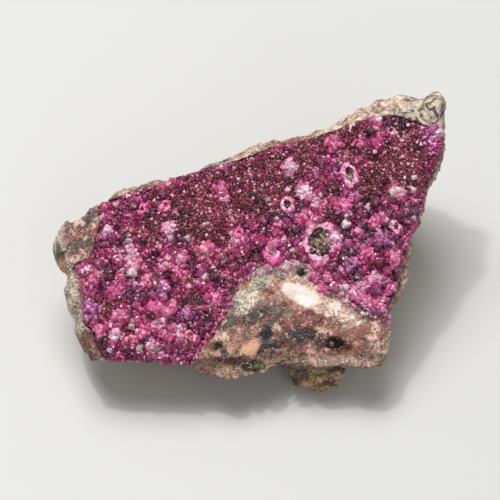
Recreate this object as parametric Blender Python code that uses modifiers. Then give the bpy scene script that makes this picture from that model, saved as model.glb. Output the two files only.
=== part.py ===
"""A cobaltoan calcite specimen, about 72 mm long: a wedge of host rock with a crust of crystals.

Run it with blender --background --python part.py, or from Blender's text editor. Lengths are in metres and
+Z is up. Both pieces are modelled in the axes of the sloping face: X runs along the face, Y up its slope
and Z out of it. An empty tilts the face to its slope and stands the specimen over the origin.
"""

import math
import random

import bmesh
import bpy
from mathutils import Matrix, Vector, noise
from mathutils.geometry import delaunay_2d_cdt

MM = 0.001

# How the specimen stands: the face's slope, and the height of the face's middle above the surface.
FACE_TILT = math.radians(28)
FACE_HEIGHT = 22 * MM

# The face's edge in millimetres, clockwise from the upper left corner, seen from in front of the face.
# The crust reaches the edge along some stretches, and the rock is bare along the others.
CORNER_TOP = [(-33.8, 3.1), (-30.6, 5.1), (-28.4, 6.9)]
CRUST_TOP = [
    (-25.2, 8.3), (-21.6, 9.5), (-17.6, 10.9), (-11.7, 13.0), (-6.3, 14.6), (-1.8, 15.7), (1.4, 17.0),
    (6.3, 18.7), (10.8, 19.6), (15.3, 21.0), (18.4, 22.5), (22.5, 23.4), (26.1, 24.0), (29.2, 23.1),
    (32.4, 21.8), (35.4, 21.4),
]
CRUST_RIGHT = [
    (35.3, 18.3), (33.9, 14.6), (32.4, 11.0), (31.4, 7.3), (30.2, 3.7), (28.5, 0.0), (27.4, -3.7),
    (26.5, -7.3), (24.9, -11.0),
]
BARE_RIGHT = [(24.2, -13.7), (23.9, -17.4)]
BARE_FRONT = [
    (23.0, -21.4), (19.8, -21.9), (15.3, -21.5), (9.0, -21.4), (5.4, -22.1), (2.2, -23.2), (-0.9, -23.8),
    (-4.5, -23.6), (-8.1, -22.9), (-11.7, -21.7),
]
CRUST_FRONT = [(-16.2, -21.1), (-21.6, -21.0)]
TOE_EDGE = [(-26.1, -21.1), (-28.6, -20.9), (-29.6, -19.0), (-29.9, -14.6)]
CRUST_LEFT = [(-29.9, -10.1), (-30.6, -5.5)]
CORNER_LEFT = [(-32.0, -0.9)]

# The seams where the crust ends on the face and bare rock starts, and the lip that crosses the bare patch.
FRONT_SEAM = [
    (24.4, -13.2), (20.8, -12.0), (18.4, -10.4), (17.2, -8.4), (14.6, -8.0), (13.0, -5.5), (11.2, -3.1),
    (7.2, -2.5), (3.6, -3.2), (0.0, -4.6), (-2.7, -7.0), (-4.6, -11.0), (-7.0, -15.2), (-9.2, -18.4),
    (-11.2, -21.9),
]
TOE_SEAM = [(-26.0, -20.9), (-27.4, -18.2), (-28.2, -15.6), (-30.0, -14.0)]
CORNER_SEAM = [(-31.4, -3.4), (-28.6, -2.2), (-27.8, 1.0), (-26.8, 4.4), (-27.6, 7.3)]
LIP = [(-10.8, -21.2), (3.6, -18.8), (9.7, -17.0), (12.4, -16.0), (17.0, -18.6), (24.0, -19.6)]
PATCH_FRONT = [(-14, -34), (34, -34), (34, -14)]

# The crust: how deep its bed lies in the rock, its gaps to the rock, and how its rim crumbles.
BED_DEPTH = 1.9 * MM
GAP = 0.3 * MM
CRUST_FLOOR = -BED_DEPTH + GAP
CRUST_INSET = 0.25 * MM
BED_OVERRUN = 4 * MM
BED_CUT_HEIGHT = 12 * MM
RIM_STEP = 1.7 * MM
RIM_CRUMBLE = 0.5 * MM

# The crust's surface between its larger crystals: its swells, and how much lower it lies where it is fine.
SWELL_HEIGHT, SWELL_LENGTH, SWELL_LAYERS = 0.7 * MM, 11 * MM, 2
FINE_DROP = 0.3 * MM

# The small pointed crystals: how far apart they are and how high, where the crust is fine and where coarse.
FINE_SPACING, COARSE_SPACING = 1.65 * MM, 2.7 * MM
FINE_POINT, COARSE_POINT = 0.45 * MM, 0.6 * MM
POINT_SHIFT = 0.25 * MM
POINT_SHARES = (0.4, 1.0)
SHEET_RIM_SHARE = 0.5
SAME_POINT = 1e-7

# The blocky crystals: how far apart they are, their edges, and how they lean and sit in the crust.
BLOCK_SPACING = 2.9 * MM
BLOCK_THINNING = 1.9
BLOCK_EDGE = (1.7 * MM, 2.9 * MM)
BLOCK_SHRINKING = 0.4
BLOCK_STRETCH = (0.85, 1.2)
BLOCK_LEAN = math.radians(42)
BLOCK_RISE = (-0.3, -0.06)
BLOCK_ROOT = 0.5 * MM
BLOCK_RIM_GAP = 1.7 * MM

# Stretches of fine, sugary crust, in millimetres: middle, half length, half width and turn in degrees.
FINE_STRETCHES = [
    (-2.0, 9.6, 17.0, 5.6, 21),
    (-12.0, 4.6, 9.5, 4.0, 10),
    (28.6, 16.0, 4.6, 6.6, 20),
    (13.0, 18.6, 7.0, 2.4, 18),
]
FINE_REACH, FINE_FADE = 1.25, 0.4

# Rings of crystals round a dark hollow, in millimetres: middle, hollow radius and hollow depth.
RINGS = [(12.3, 0.8, 1.9, 1.3), (18.0, 13.4, 1.3, 1.1), (6.6, 7.5, 1.1, 1.0)]
RING_CRYSTALS = 9
RING_WIDTH = 1.5 * MM
RING_UNEVENNESS = 0.2
RING_OFFSET = 0.35
RING_EDGES = (0.38, 0.55)
RING_HOLLOW_RISE = 1.3
HOLLOW_FLOOR = 0.4 * MM

# The rock's sides at each depth below the face, in millimetres. The share draws the outline in towards the
# middle of the base, and the rest is how far each side then stands out.
# Columns: depth, share drawn in, left, back at the left end, back at the right end, right, front.
BASE_MIDDLE = (2.0, 6.0)
SIDE_LEVELS = [
    (0.0, 0.00, 0.0, 0.0, 0.0, 0.0, 0.0),
    (1.9, 0.00, 0.2, 0.3, 3.2, 0.4, 0.0),
    (4.5, 0.00, 0.8, 0.6, 7.0, 0.5, -0.5),
    (8.0, 0.03, 1.2, 1.0, 8.2, 0.4, -1.8),
    (13.0, 0.12, 1.4, 1.6, 9.0, 0.6, -4.2),
    (20.0, 0.25, 0.5, 1.6, 8.4, 1.2, -4.8),
    (30.0, 0.42, 0.0, 0.0, 6.0, 1.5, -3.0),
    (42.0, 0.60, 0.0, 0.0, 4.0, 1.5, -1.0),
]
BACK_RISE = 5
BASE_CLEARANCE = 0.9 * MM
TABLE_SIDE = 160 * MM

# Lumps that grow out of the rock: middle and half sizes in millimetres, in the face's axes.
LUMPS = {
    "foot": ((11.9, -21.1, -8.8), (5.5, 3.7, 7.0)),
    "foot root": ((9.5, -15.0, -10.0), (6.5, 4.2, 6.0)),
    "stub": ((33.9, 25.6, -2.4), (2.0, 2.8, 2.6)),
    "back shelf": ((26.5, 24.4, -3.4), (7.0, 3.8, 2.9)),
    "back swell": ((9.8, 18.0, -3.0), (7.6, 2.6, 2.6)),
    "left swell": ((-33.0, 0.4, -4.2), (2.8, 4.8, 4.2)),
    "left end": ((-30.5, -5.6, -5.0), (2.9, 7.0, 4.4)),
    "front lip": ((-2.6, -20.4, -4.6), (7.4, 2.6, 3.4)),
    "heel": ((2.0, 4.0, -26.0), (15.0, 11.0, 4.4)),
}

# Hollows in the bare rock: middle and half sizes in millimetres.
HOLLOWS = {
    "rusty pit": ((15.2, -17.6, -2.0), (2.0, 1.3, 2.4)),
    "green pocket": ((0.4, -22.8, -4.6), (2.2, 1.3, 1.5)),
    "seam pit": ((9.6, -5.2, -0.9), (1.3, 0.8, 1.2)),
    "slate pit": ((2.9, -16.4, -1.9), (2.3, 1.0, 1.5)),
    "left pit": ((-6.2, -18.6, -0.7), (1.6, 1.0, 1.2)),
    "side pit": ((-33.4, -5.2, -5.0), (1.6, 2.2, 1.7)),
    "back pit": ((22.0, 27.2, -10.0), (2.2, 1.6, 2.0)),
}

# The rock's roughness: how high and how long its swells, ledges and grains are, and how flat they are on
# the bed and on the bare patch. Then how far the patch lies below the face, and the share of faces kept.
LUMP_HEIGHT, LUMP_LENGTH, LUMP_LAYERS = 1.5 * MM, 10 * MM, 3
LEDGE_HEIGHT, LEDGE_LENGTH, LEDGE_LAYERS = 0.9 * MM, 4.2 * MM, 2
LEDGE_OFFSET, LEDGE_GAIN = 1.0, 2.0
GRAIN_HEIGHT, GRAIN_LENGTH = 0.55 * MM, 2.1 * MM
LAYER_FADE, LAYER_STEP = 1.0, 2.0
BED_FLATNESS, PATCH_FLATNESS = 0.75, 0.05
PATCH_STEP = 0.5 * MM
PATCH_DROP = 0.10
LIP_DROP, LIP_WIDTH = 1.7 * MM, 0.9 * MM
REMESH_SIZE = 0.85 * MM
KEPT_SHARE = 0.11
LUMP_DETAIL, HOLLOW_DETAIL = 3, 1

ROCK_COLOUR = (0.42, 0.29, 0.23, 1.0)
ROCK_ROUGHNESS = 0.85
CRUST_COLOUR = (0.55, 0.05, 0.27, 1.0)
CRUST_ROUGHNESS = 0.3

RIM_SEED, SHEET_SEED, POINT_SEED, BLOCK_SEED, BLOCK_PLACE_SEED = 2, 3, 8, 21, 5
SHEET_TRIES, BLOCK_TRIES = 14000, 5000


def metres(points):
    """The points, given in millimetres, as vectors in metres."""
    return [Vector(point) * MM for point in points]


FACE = metres(CORNER_TOP + CRUST_TOP + CRUST_RIGHT + BARE_RIGHT + BARE_FRONT + CRUST_FRONT + TOE_EDGE
              + CRUST_LEFT + CORNER_LEFT)
SEAM_LINE, LIP_LINE = metres(FRONT_SEAM), metres(LIP)
PATCH = metres(FRONT_SEAM + PATCH_FRONT)
LOWER_PATCH = metres(LIP + PATCH_FRONT[::-1])


def clear_scene():
    """Removes the objects that the scene starts with."""
    for obj in list(bpy.data.objects):
        bpy.data.objects.remove(obj, do_unlink=True)


def new_collection(name):
    """Makes a collection in the scene."""
    collection = bpy.data.collections.new(name)
    bpy.context.scene.collection.children.link(collection)
    return collection


def material(name, colour, roughness):
    """Makes a plain material."""
    made = bpy.data.materials.new(name)
    made.use_nodes = True
    shader = made.node_tree.nodes["Principled BSDF"]
    shader.inputs["Base Color"].default_value = colour
    shader.inputs["Roughness"].default_value = roughness
    shader.inputs["Metallic"].default_value = 0.0
    return made


def add_object(name, bm, collection, parent, cutter=False):
    """Makes an object of the bmesh. A cutter is drawn as wire and isn't part of the specimen."""
    mesh = bpy.data.meshes.new(name)
    bm.to_mesh(mesh)
    bm.free()
    obj = bpy.data.objects.new(name, mesh)
    collection.objects.link(obj)
    obj.parent = parent
    if cutter:
        obj.hide_render = True
        obj.display_type = "WIRE"
    return obj


def outward(outline):
    """For each point of a clockwise outline, the direction straight out of it."""
    directions = []
    for i, point in enumerate(outline):
        along = (outline[(i + 1) % len(outline)] - outline[i - 1]).normalized()
        directions.append(Vector((-along.y, along.x)))
    return directions


def inside(point, outline):
    """Whether the point is inside the closed outline."""
    found = False
    for a, b in zip(outline, outline[1:] + outline[:1]):
        if (a.y > point.y) != (b.y > point.y):
            if point.x < a.x + (b.x - a.x) * (point.y - a.y) / (b.y - a.y):
                found = not found
    return found


def line_distance(point, line):
    """How far the point is from the open line."""
    nearest = math.inf
    for a, b in zip(line, line[1:]):
        along = b - a
        share = max(0.0, min(1.0, (point - a).dot(along) / along.length_squared))
        nearest = min(nearest, (point - a - along * share).length)
    return nearest


def crust_outline(at_rock, at_free_sides):
    """The crust's edge, moved out by one distance where rock stands beside it and by another elsewhere."""
    sides = [
        (CRUST_TOP, at_rock), (CRUST_RIGHT, at_free_sides), (FRONT_SEAM, at_rock),
        (CRUST_FRONT, at_free_sides), (TOE_SEAM, at_rock), (CRUST_LEFT, at_free_sides),
        (CORNER_SEAM, at_rock),
    ]
    outline = metres([point for side, _ in sides for point in side])
    distances = [distance for side, distance in sides for _ in side]
    return [point + out * distance for point, out, distance in zip(outline, outward(outline), distances)]


def crumbled(outline):
    """The outline with points added along its edges, each moved in by its own small distance."""
    dice = random.Random(RIM_SEED)
    points = []
    for a, b in zip(outline, outline[1:] + outline[:1]):
        pieces = max(1, round((b - a).length / RIM_STEP))
        points.extend(a.lerp(b, i / pieces) for i in range(pieces))
    return [point - out * dice.uniform(0.0, RIM_CRUMBLE) for point, out in zip(points, outward(points))]


def fineness(point):
    """1 in the middle of a stretch of fine crust, falling to 0 where the crystals are coarse."""
    most = 0.0
    for x, y, half_length, half_width, turn in FINE_STRETCHES:
        away = Matrix.Rotation(-math.radians(turn), 2) @ (point - Vector((x, y)) * MM)
        reach = math.hypot(away.x / (half_length * MM), away.y / (half_width * MM))
        most = max(most, min(1.0, (FINE_REACH - reach) / FINE_FADE))
    return most


def between(coarse, fine, point):
    """The value at the point, between the one for coarse crust and the one for fine crust."""
    return coarse + (fine - coarse) * fineness(point)


def crust_level(point):
    """The height of the crust's surface between its crystals."""
    place = Vector((point.x, point.y, 0.0)) / SWELL_LENGTH
    swell = noise.fractal(place, LAYER_FADE, LAYER_STEP, SWELL_LAYERS)
    return SWELL_HEIGHT * swell - FINE_DROP * fineness(point)


def scatter(outline, spacing, rim_gap, tries, seed):
    """Points strewn inside the outline, kept apart and off its edge by distances set by the place."""
    dice = random.Random(seed)
    xs, ys = [p.x for p in outline], [p.y for p in outline]
    ring = outline + outline[:1]
    kept = []
    for _ in range(tries):
        point = Vector((dice.uniform(min(xs), max(xs)), dice.uniform(min(ys), max(ys))))
        gap = spacing(point)
        if any((point - other).length < gap for other in kept):
            continue
        if inside(point, outline) and line_distance(point, ring) > rim_gap(gap):
            kept.append(point)
    return kept


def crystal_sheet(outline):
    """The crust's body: a sheet of small pointed crystals on a flat floor."""
    points = outline + scatter(outline, lambda point: between(COARSE_SPACING, FINE_SPACING, point),
                               lambda gap: SHEET_RIM_SHARE * gap, SHEET_TRIES, SHEET_SEED)
    loop = list(range(len(outline)))
    corners, _, faces, _, _, _ = delaunay_2d_cdt(points, [], [loop], 1, SAME_POINT)
    bm = bmesh.new()
    verts = [bm.verts.new((p.x, p.y, crust_level(p))) for p in corners]
    for face in faces:
        bm.faces.new([verts[i] for i in face])
    bmesh.ops.recalc_face_normals(bm, faces=bm.faces)
    if sum(face.normal.z for face in bm.faces) < 0:
        bmesh.ops.reverse_faces(bm, faces=bm.faces)

    dice = random.Random(POINT_SEED)
    for tip in bmesh.ops.poke(bm, faces=bm.faces[:])["verts"]:
        height = between(COARSE_POINT, FINE_POINT, tip.co.xy) * dice.uniform(*POINT_SHARES)
        shift = [dice.uniform(-POINT_SHIFT, POINT_SHIFT) for _ in range(2)]
        tip.co += Vector((*shift, height))

    rim = [edge for edge in bm.edges if edge.is_boundary]
    skirt = bmesh.ops.extrude_edge_only(bm, edges=rim)["geom"]
    for vert in (item for item in skirt if isinstance(item, bmesh.types.BMVert)):
        vert.co.z = CRUST_FLOOR
    bmesh.ops.holes_fill(bm, edges=[edge for edge in bm.edges if edge.is_boundary])
    bmesh.ops.recalc_face_normals(bm, faces=bm.faces)
    return bm


def add_rhomb(bm, place, edge, dice):
    """Adds one calcite rhomb that stands on its point at the place, turned and leaning its own way."""
    around = dice.uniform(0, math.tau)
    upright = Vector((1, 1, 1)).rotation_difference(Vector((0, 0, 1))).to_matrix().to_4x4()
    stretch = Matrix.Diagonal((1, 1, dice.uniform(*BLOCK_STRETCH), 1))
    turn = Matrix.Rotation(dice.uniform(0, math.tau), 4, "Z")
    lean = Matrix.Rotation(dice.uniform(0, BLOCK_LEAN), 4, Vector((math.cos(around), math.sin(around), 0)))
    bmesh.ops.create_cube(bm, size=edge, matrix=Matrix.Translation(place) @ lean @ turn @ stretch @ upright)


def block_crystals(outline):
    """The larger crystals: strewn over the coarse crust, and set in rings round the hollows."""
    dice = random.Random(BLOCK_SEED)
    bm = bmesh.new()

    def add(point, edge):
        rise = dice.uniform(*BLOCK_RISE) * edge
        add_rhomb(bm, Vector((point.x, point.y, crust_level(point) + rise)), edge, dice)

    rings = [(Vector((x, y)) * MM, radius * MM) for x, y, radius, _ in RINGS]
    for middle, radius in rings:
        for i in range(RING_CRYSTALS):
            around = math.tau * (i + dice.uniform(-RING_UNEVENNESS, RING_UNEVENNESS)) / RING_CRYSTALS
            out = Vector((math.cos(around), math.sin(around))) * (radius + RING_OFFSET * RING_WIDTH)
            add(middle + out, dice.uniform(*RING_EDGES) * (radius + RING_WIDTH))

    spots = scatter(outline, lambda point: between(BLOCK_SPACING, BLOCK_THINNING * BLOCK_SPACING, point),
                    lambda gap: BLOCK_RIM_GAP, BLOCK_TRIES, BLOCK_PLACE_SEED)
    for point in spots:
        if all((point - middle).length > radius + RING_WIDTH for middle, radius in rings):
            add(point, dice.uniform(*BLOCK_EDGE) * (1 - BLOCK_SHRINKING * fineness(point)))

    root = Vector((0, 0, CRUST_FLOOR + BLOCK_ROOT))
    for shell in shells(bm):
        geom = shell + [edge for face in shell for edge in face.edges]
        geom += [vert for face in shell for vert in face.verts]
        cut = bmesh.ops.bisect_plane(bm, geom=list(dict.fromkeys(geom)), plane_co=root, plane_no=(0, 0, 1),
                                     clear_inner=True)["geom_cut"]
        bmesh.ops.contextual_create(bm, geom=[item for item in cut if isinstance(item, bmesh.types.BMEdge)])
    bmesh.ops.recalc_face_normals(bm, faces=bm.faces)
    return bm


def shells(bm):
    """The faces of each separate closed shape in the bmesh."""
    left = set(bm.faces)
    found = []
    while left:
        shell, waiting = [], [next(iter(left))]
        left.discard(waiting[0])
        while waiting:
            face = waiting.pop()
            shell.append(face)
            near = {other for edge in face.edges for other in edge.link_faces} & left
            left -= near
            waiting.extend(near)
        found.append(shell)
    return found


def add_ball(bm, middle, half_sizes, detail):
    """Adds a faceted lump with its own half sizes, in millimetres."""
    place = Matrix.Translation(Vector(middle) * MM) @ Matrix.Diagonal(Vector(half_sizes) * MM).to_4x4()
    bmesh.ops.create_icosphere(bm, subdivisions=detail, radius=1.0, matrix=place)


def side_ring(level):
    """The rock's outline at one depth below the face, from how far each side stands out there."""
    depth, drawn_in, left, back_left, back_right, right, front = level
    middle = Vector(BASE_MIDDLE) * MM
    start, end = FACE[0].x, metres(CRUST_TOP)[-1].x
    ring = []
    for point, out in zip(FACE, outward(FACE)):
        share = (point.x - start) / (end - start)
        back = back_left + (back_right - back_left) * share ** BACK_RISE
        across = right if out.x > 0 else left
        along = back if out.y > 0 else front
        place = point.lerp(middle, drawn_in) + Vector((out.x * across, out.y * along)) * MM
        ring.append(place.to_3d() - Vector((0, 0, depth * MM)))
    return ring


def rough_block():
    """The rock before it is weathered: its outline carried down through the side levels, with its lumps."""
    bm = bmesh.new()
    loops = []
    for level in SIDE_LEVELS:
        verts = [bm.verts.new(point) for point in side_ring(level)]
        edges = [bm.edges.new(pair) for pair in zip(verts, verts[1:] + verts[:1])]
        loops.append((verts, edges))
    for (_, upper), (_, lower) in zip(loops, loops[1:]):
        bmesh.ops.bridge_loops(bm, edges=upper + lower)
    bm.faces.new(loops[0][0])
    bm.faces.new(loops[-1][0])
    up = Vector((0, math.sin(FACE_TILT), math.cos(FACE_TILT)))
    cut = bmesh.ops.bisect_plane(bm, geom=bm.verts[:] + bm.edges[:] + bm.faces[:], plane_no=up,
                                 plane_co=up * (BASE_CLEARANCE - FACE_HEIGHT), clear_inner=True)["geom_cut"]
    bmesh.ops.contextual_create(bm, geom=[item for item in cut if isinstance(item, bmesh.types.BMEdge)])
    bmesh.ops.recalc_face_normals(bm, faces=bm.faces)
    for middle, half_sizes in LUMPS.values():
        add_ball(bm, middle, half_sizes, LUMP_DETAIL)
    return bm


def patch_fall(point):
    """How far the bare patch lies below the face: it falls away from its seam, and again past its lip."""
    fall = PATCH_STEP + PATCH_DROP * line_distance(point, SEAM_LINE)
    if inside(point, LOWER_PATCH):
        fall += LIP_DROP * min(1.0, line_distance(point, LIP_LINE) / LIP_WIDTH)
    return fall


def weather(mesh):
    """Moves the rock's points in and out in swells, ledges and grains, and lowers the bare patch."""
    bm = bmesh.new()
    bm.from_mesh(mesh)
    bm.normal_update()
    moved = []
    for vert in bm.verts:
        bare = inside(vert.co.xy, PATCH)
        lump = noise.fractal(vert.co / LUMP_LENGTH, LAYER_FADE, LAYER_STEP, LUMP_LAYERS)
        ledge = noise.ridged_multi_fractal(vert.co / LEDGE_LENGTH, LAYER_FADE, LAYER_STEP, LEDGE_LAYERS,
                                           LEDGE_OFFSET, LEDGE_GAIN) - 1
        height = LUMP_HEIGHT * lump + LEDGE_HEIGHT * ledge
        height += GRAIN_HEIGHT * noise.noise(vert.co / GRAIN_LENGTH)
        up = max(0.0, vert.normal.z)
        flatness = PATCH_FLATNESS if bare else BED_FLATNESS
        place = vert.co + vert.normal * height * (1 - flatness * up)
        if bare:
            place.z -= patch_fall(vert.co.xy) * up
        moved.append(place)
    for vert, place in zip(bm.verts, moved):
        vert.co = place
    bm.to_mesh(mesh)
    bm.free()


def evaluated_mesh(obj):
    """A copy of the object's mesh with its modifiers in it."""
    graph = bpy.context.evaluated_depsgraph_get()
    return bpy.data.meshes.new_from_object(obj.evaluated_get(graph))


def keep_outside(mesh):
    """Keeps the mesh's largest shell, and drops the small sealed hollows between its crystals."""
    bm = bmesh.new()
    bm.from_mesh(mesh)
    inner = sorted(shells(bm), key=len)[:-1]
    bmesh.ops.delete(bm, geom=[face for shell in inner for face in shell], context="FACES")
    bm.to_mesh(mesh)
    bm.free()


def cut_away(obj, cutter):
    """Takes the cutter's shape out of the object."""
    modifier = obj.modifiers.new(cutter.name, "BOOLEAN")
    modifier.operation = "DIFFERENCE"
    modifier.object = cutter


def bed_cutter(collection, parent):
    """The cutter for the crust's bed: the crust's outline, run out past the rock on its free sides."""
    bm = bmesh.new()
    bm.faces.new([bm.verts.new((point.x, point.y, -BED_DEPTH))
                  for point in crust_outline(GAP - CRUST_INSET, BED_OVERRUN)])
    top = bmesh.ops.extrude_face_region(bm, geom=bm.faces[:])["geom"]
    bmesh.ops.translate(bm, verts=[item for item in top if isinstance(item, bmesh.types.BMVert)],
                        vec=(0, 0, BED_CUT_HEIGHT))
    bmesh.ops.recalc_face_normals(bm, faces=bm.faces)
    return add_object("bed_cutter", bm, collection, parent, cutter=True)


def table_cutter(collection, parent):
    """The cutter under the specimen, whose top is the surface that it stands on."""
    bm = bmesh.new()
    below = Matrix.Translation((0, 0, -FACE_HEIGHT - TABLE_SIDE / 2))
    bmesh.ops.create_cube(bm, size=TABLE_SIDE, matrix=Matrix.Rotation(-FACE_TILT, 4, "X") @ below)
    return add_object("table_cutter", bm, collection, parent, cutter=True)


def ball_cutter(name, balls, collection, parent):
    """The cutter for the hollows, each given by its middle and half sizes."""
    bm = bmesh.new()
    for middle, half_sizes in balls:
        add_ball(bm, middle, half_sizes, HOLLOW_DETAIL)
    return add_object(name, bm, collection, parent, cutter=True)


def add_host_rock(specimen, cutters, parent):
    """The rock: weathered, broken into facets, then cut for the crust's bed, its base and its hollows."""
    rock = add_object("host_rock", rough_block(), specimen, parent)
    remesh = rock.modifiers.new("remesh", "REMESH")
    remesh.mode = "VOXEL"
    remesh.voxel_size = REMESH_SIZE
    mesh = evaluated_mesh(rock)
    rock.modifiers.clear()
    weather(mesh)
    rock.data = mesh
    facets = rock.modifiers.new("facets", "DECIMATE")
    facets.ratio = KEPT_SHARE
    cut_away(rock, bed_cutter(cutters, parent))
    cut_away(rock, table_cutter(cutters, parent))
    cut_away(rock, ball_cutter("hollow_cutter", HOLLOWS.values(), cutters, parent))
    rock.data.materials.append(material("host_rock", ROCK_COLOUR, ROCK_ROUGHNESS))
    return rock


def ring_hollows():
    """The hollows in the middle of the rings, in millimetres, none deeper than the crust's floor allows."""
    hollows = []
    for x, y, radius, depth in RINGS:
        level = crust_level(Vector((x, y)) * MM) / MM
        bottom = max(level - depth, (CRUST_FLOOR + HOLLOW_FLOOR) / MM)
        top = level + RING_HOLLOW_RISE
        hollows.append(((x, y, top), (radius, radius, top - bottom)))
    return hollows


def add_calcite_crust(specimen, cutters, parent):
    """The crust: a sheet of small crystals, with the larger ones joined to it and the rings hollowed."""
    outline = crumbled(crust_outline(-CRUST_INSET, -CRUST_INSET))
    crust = add_object("calcite_crust", crystal_sheet(outline), specimen, parent)
    joined = crust.modifiers.new("block_crystals", "BOOLEAN")
    joined.operation = "UNION"
    joined.object = add_object("block_crystals", block_crystals(outline), cutters, parent, cutter=True)
    joined.use_self = True
    mesh = evaluated_mesh(crust)
    crust.modifiers.clear()
    keep_outside(mesh)
    crust.data = mesh
    cut_away(crust, ball_cutter("ring_cutter", ring_hollows(), cutters, parent))
    crust.data.materials.append(material("calcite_crust", CRUST_COLOUR, CRUST_ROUGHNESS))
    return crust


def stand(parent, pieces):
    """Tilts the face, and sets the specimen on the ground with its middle over the origin."""
    parent.rotation_euler = (FACE_TILT, 0, 0)
    bpy.context.view_layer.update()
    graph = bpy.context.evaluated_depsgraph_get()
    places = []
    for piece in pieces:
        shown = piece.evaluated_get(graph)
        mesh = shown.to_mesh()
        places.extend(shown.matrix_world @ vert.co for vert in mesh.vertices)
        shown.to_mesh_clear()
    low = Vector(min(place[i] for place in places) for i in range(3))
    high = Vector(max(place[i] for place in places) for i in range(3))
    parent.location = (-(low.x + high.x) / 2, -(low.y + high.y) / 2, -low.z)


def main():
    """Builds the specimen."""
    clear_scene()
    specimen = new_collection("cobaltoan_calcite_specimen")
    cutters = new_collection("cutters")
    standing = bpy.data.objects.new("standing", None)
    specimen.objects.link(standing)
    rock = add_host_rock(specimen, cutters, standing)
    crust = add_calcite_crust(specimen, cutters, standing)
    stand(standing, [rock, crust])


main()
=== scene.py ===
"""The looks of a cobaltoan calcite specimen: a wedge of host rock whose face has a crust of magenta crystals.

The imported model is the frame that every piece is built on. The rock and the crust's bed are finer skins made
from its two solids. Grains and crystals are strewn over the skins by small classes that keep their own sizes,
and each finish is a small class that makes one node material. Sizes are in millimetres unless a name says
otherwise, and places on the face are given in the face's own axes: u along the face, v up its slope and n out
of it.
"""

import logging
import math
from collections.abc import Callable
from dataclasses import dataclass, field, replace
from enum import Enum, IntEnum

import bmesh
import bpy
import numpy as np
from mathutils import Matrix, Vector, noise
from mathutils.bvhtree import BVHTree
from mathutils.kdtree import KDTree


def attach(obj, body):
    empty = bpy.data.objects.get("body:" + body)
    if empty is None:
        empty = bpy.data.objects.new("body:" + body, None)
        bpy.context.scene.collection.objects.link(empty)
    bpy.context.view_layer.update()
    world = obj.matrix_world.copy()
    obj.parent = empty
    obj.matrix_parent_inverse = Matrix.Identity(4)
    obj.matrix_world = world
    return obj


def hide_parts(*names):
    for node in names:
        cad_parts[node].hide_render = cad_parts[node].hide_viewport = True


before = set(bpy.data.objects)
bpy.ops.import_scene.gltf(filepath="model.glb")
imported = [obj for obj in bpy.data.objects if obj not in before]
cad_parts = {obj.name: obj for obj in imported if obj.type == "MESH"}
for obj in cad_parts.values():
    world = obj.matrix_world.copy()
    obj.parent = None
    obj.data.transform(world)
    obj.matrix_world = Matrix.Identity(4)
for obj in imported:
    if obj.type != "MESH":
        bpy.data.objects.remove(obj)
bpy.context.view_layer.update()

LOG = logging.getLogger("specimen")
MM = 0.001
BODY = "root"

Colour = tuple[int, int, int]
Array = np.ndarray

# The names under which a mesh's colours and its marked stretches are stored.
TINT, MARKS = "tint", "marks"


class Seed(IntEnum):
    """Where each piece's chances start, so that every run gives the same specimen."""

    FINE_PLACES = 11
    SMALL_PLACES = 12
    BLOCKY_PLACES = 13
    BED = 30
    FINE = 31
    SMALL = 32
    BLOCKY = 33
    ROSETTES = 34
    FILLINGS = 35
    THREADS = 36
    RING_WALLS = 37
    GRAINS = 71
    GRAIN_PLACES = 72


def linear(colour: Colour) -> Array:
    """The linear light of a colour given in screen values from 0 to 255.

    Args:
        colour: red, green and blue, as a screen shows them.

    Returns:
        Three numbers from 0 to 1.
    """
    share = np.asarray(colour, float) / 255.0
    return np.where(share <= 0.04045, share / 12.92, ((share + 0.055) / 1.055) ** 2.4)


def smooth_step(low: float, high: float, value: Array) -> Array:
    """0 below low, 1 above high, and a smooth rise between them.

    Args:
        low: where the rise starts.
        high: where it ends.
        value: the numbers to grade.

    Returns:
        The graded numbers, from 0 to 1.
    """
    share = np.clip((np.asarray(value) - low) / (high - low), 0.0, 1.0)
    return share * share * (3.0 - 2.0 * share)


@dataclass(frozen=True)
class Face:
    """The sloping face's own axes, in which the specimen's features are placed.

    Attributes:
        middle: the face's middle in the row frame.
        tilt: the face's slope, in degrees.
    """

    middle: tuple[float, float, float] = (-0.07, -5.33, 22.0)
    tilt: float = 28.0

    def axes(self) -> Array:
        """The unit vectors along u, v and n, one in each row.

        Returns:
            A 3 by 3 array.
        """
        slope = math.radians(self.tilt)
        return np.array([
            (1.0, 0.0, 0.0),
            (0.0, math.cos(slope), math.sin(slope)),
            (0.0, -math.sin(slope), math.cos(slope)),
        ])

    def from_row(self, places: Array) -> Array:
        """Turns places in the row frame, in metres, to u, v and n in millimetres.

        Args:
            places: an array of points, one in each row.

        Returns:
            An array of the same shape.
        """
        return (places / MM - np.array(self.middle)) @ self.axes().T

    def to_row(self, places: Array) -> Array:
        """Turns u, v and n in millimetres to places in the row frame, in metres.

        Args:
            places: an array of points, one in each row.

        Returns:
            An array of the same shape.
        """
        return (places @ self.axes() + np.array(self.middle)) * MM


FACE = Face()

# How far the camera's line of sight slides up the face for each millimetre that it goes down into the rock.
SIGHT_SLOPE = 0.177


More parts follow.
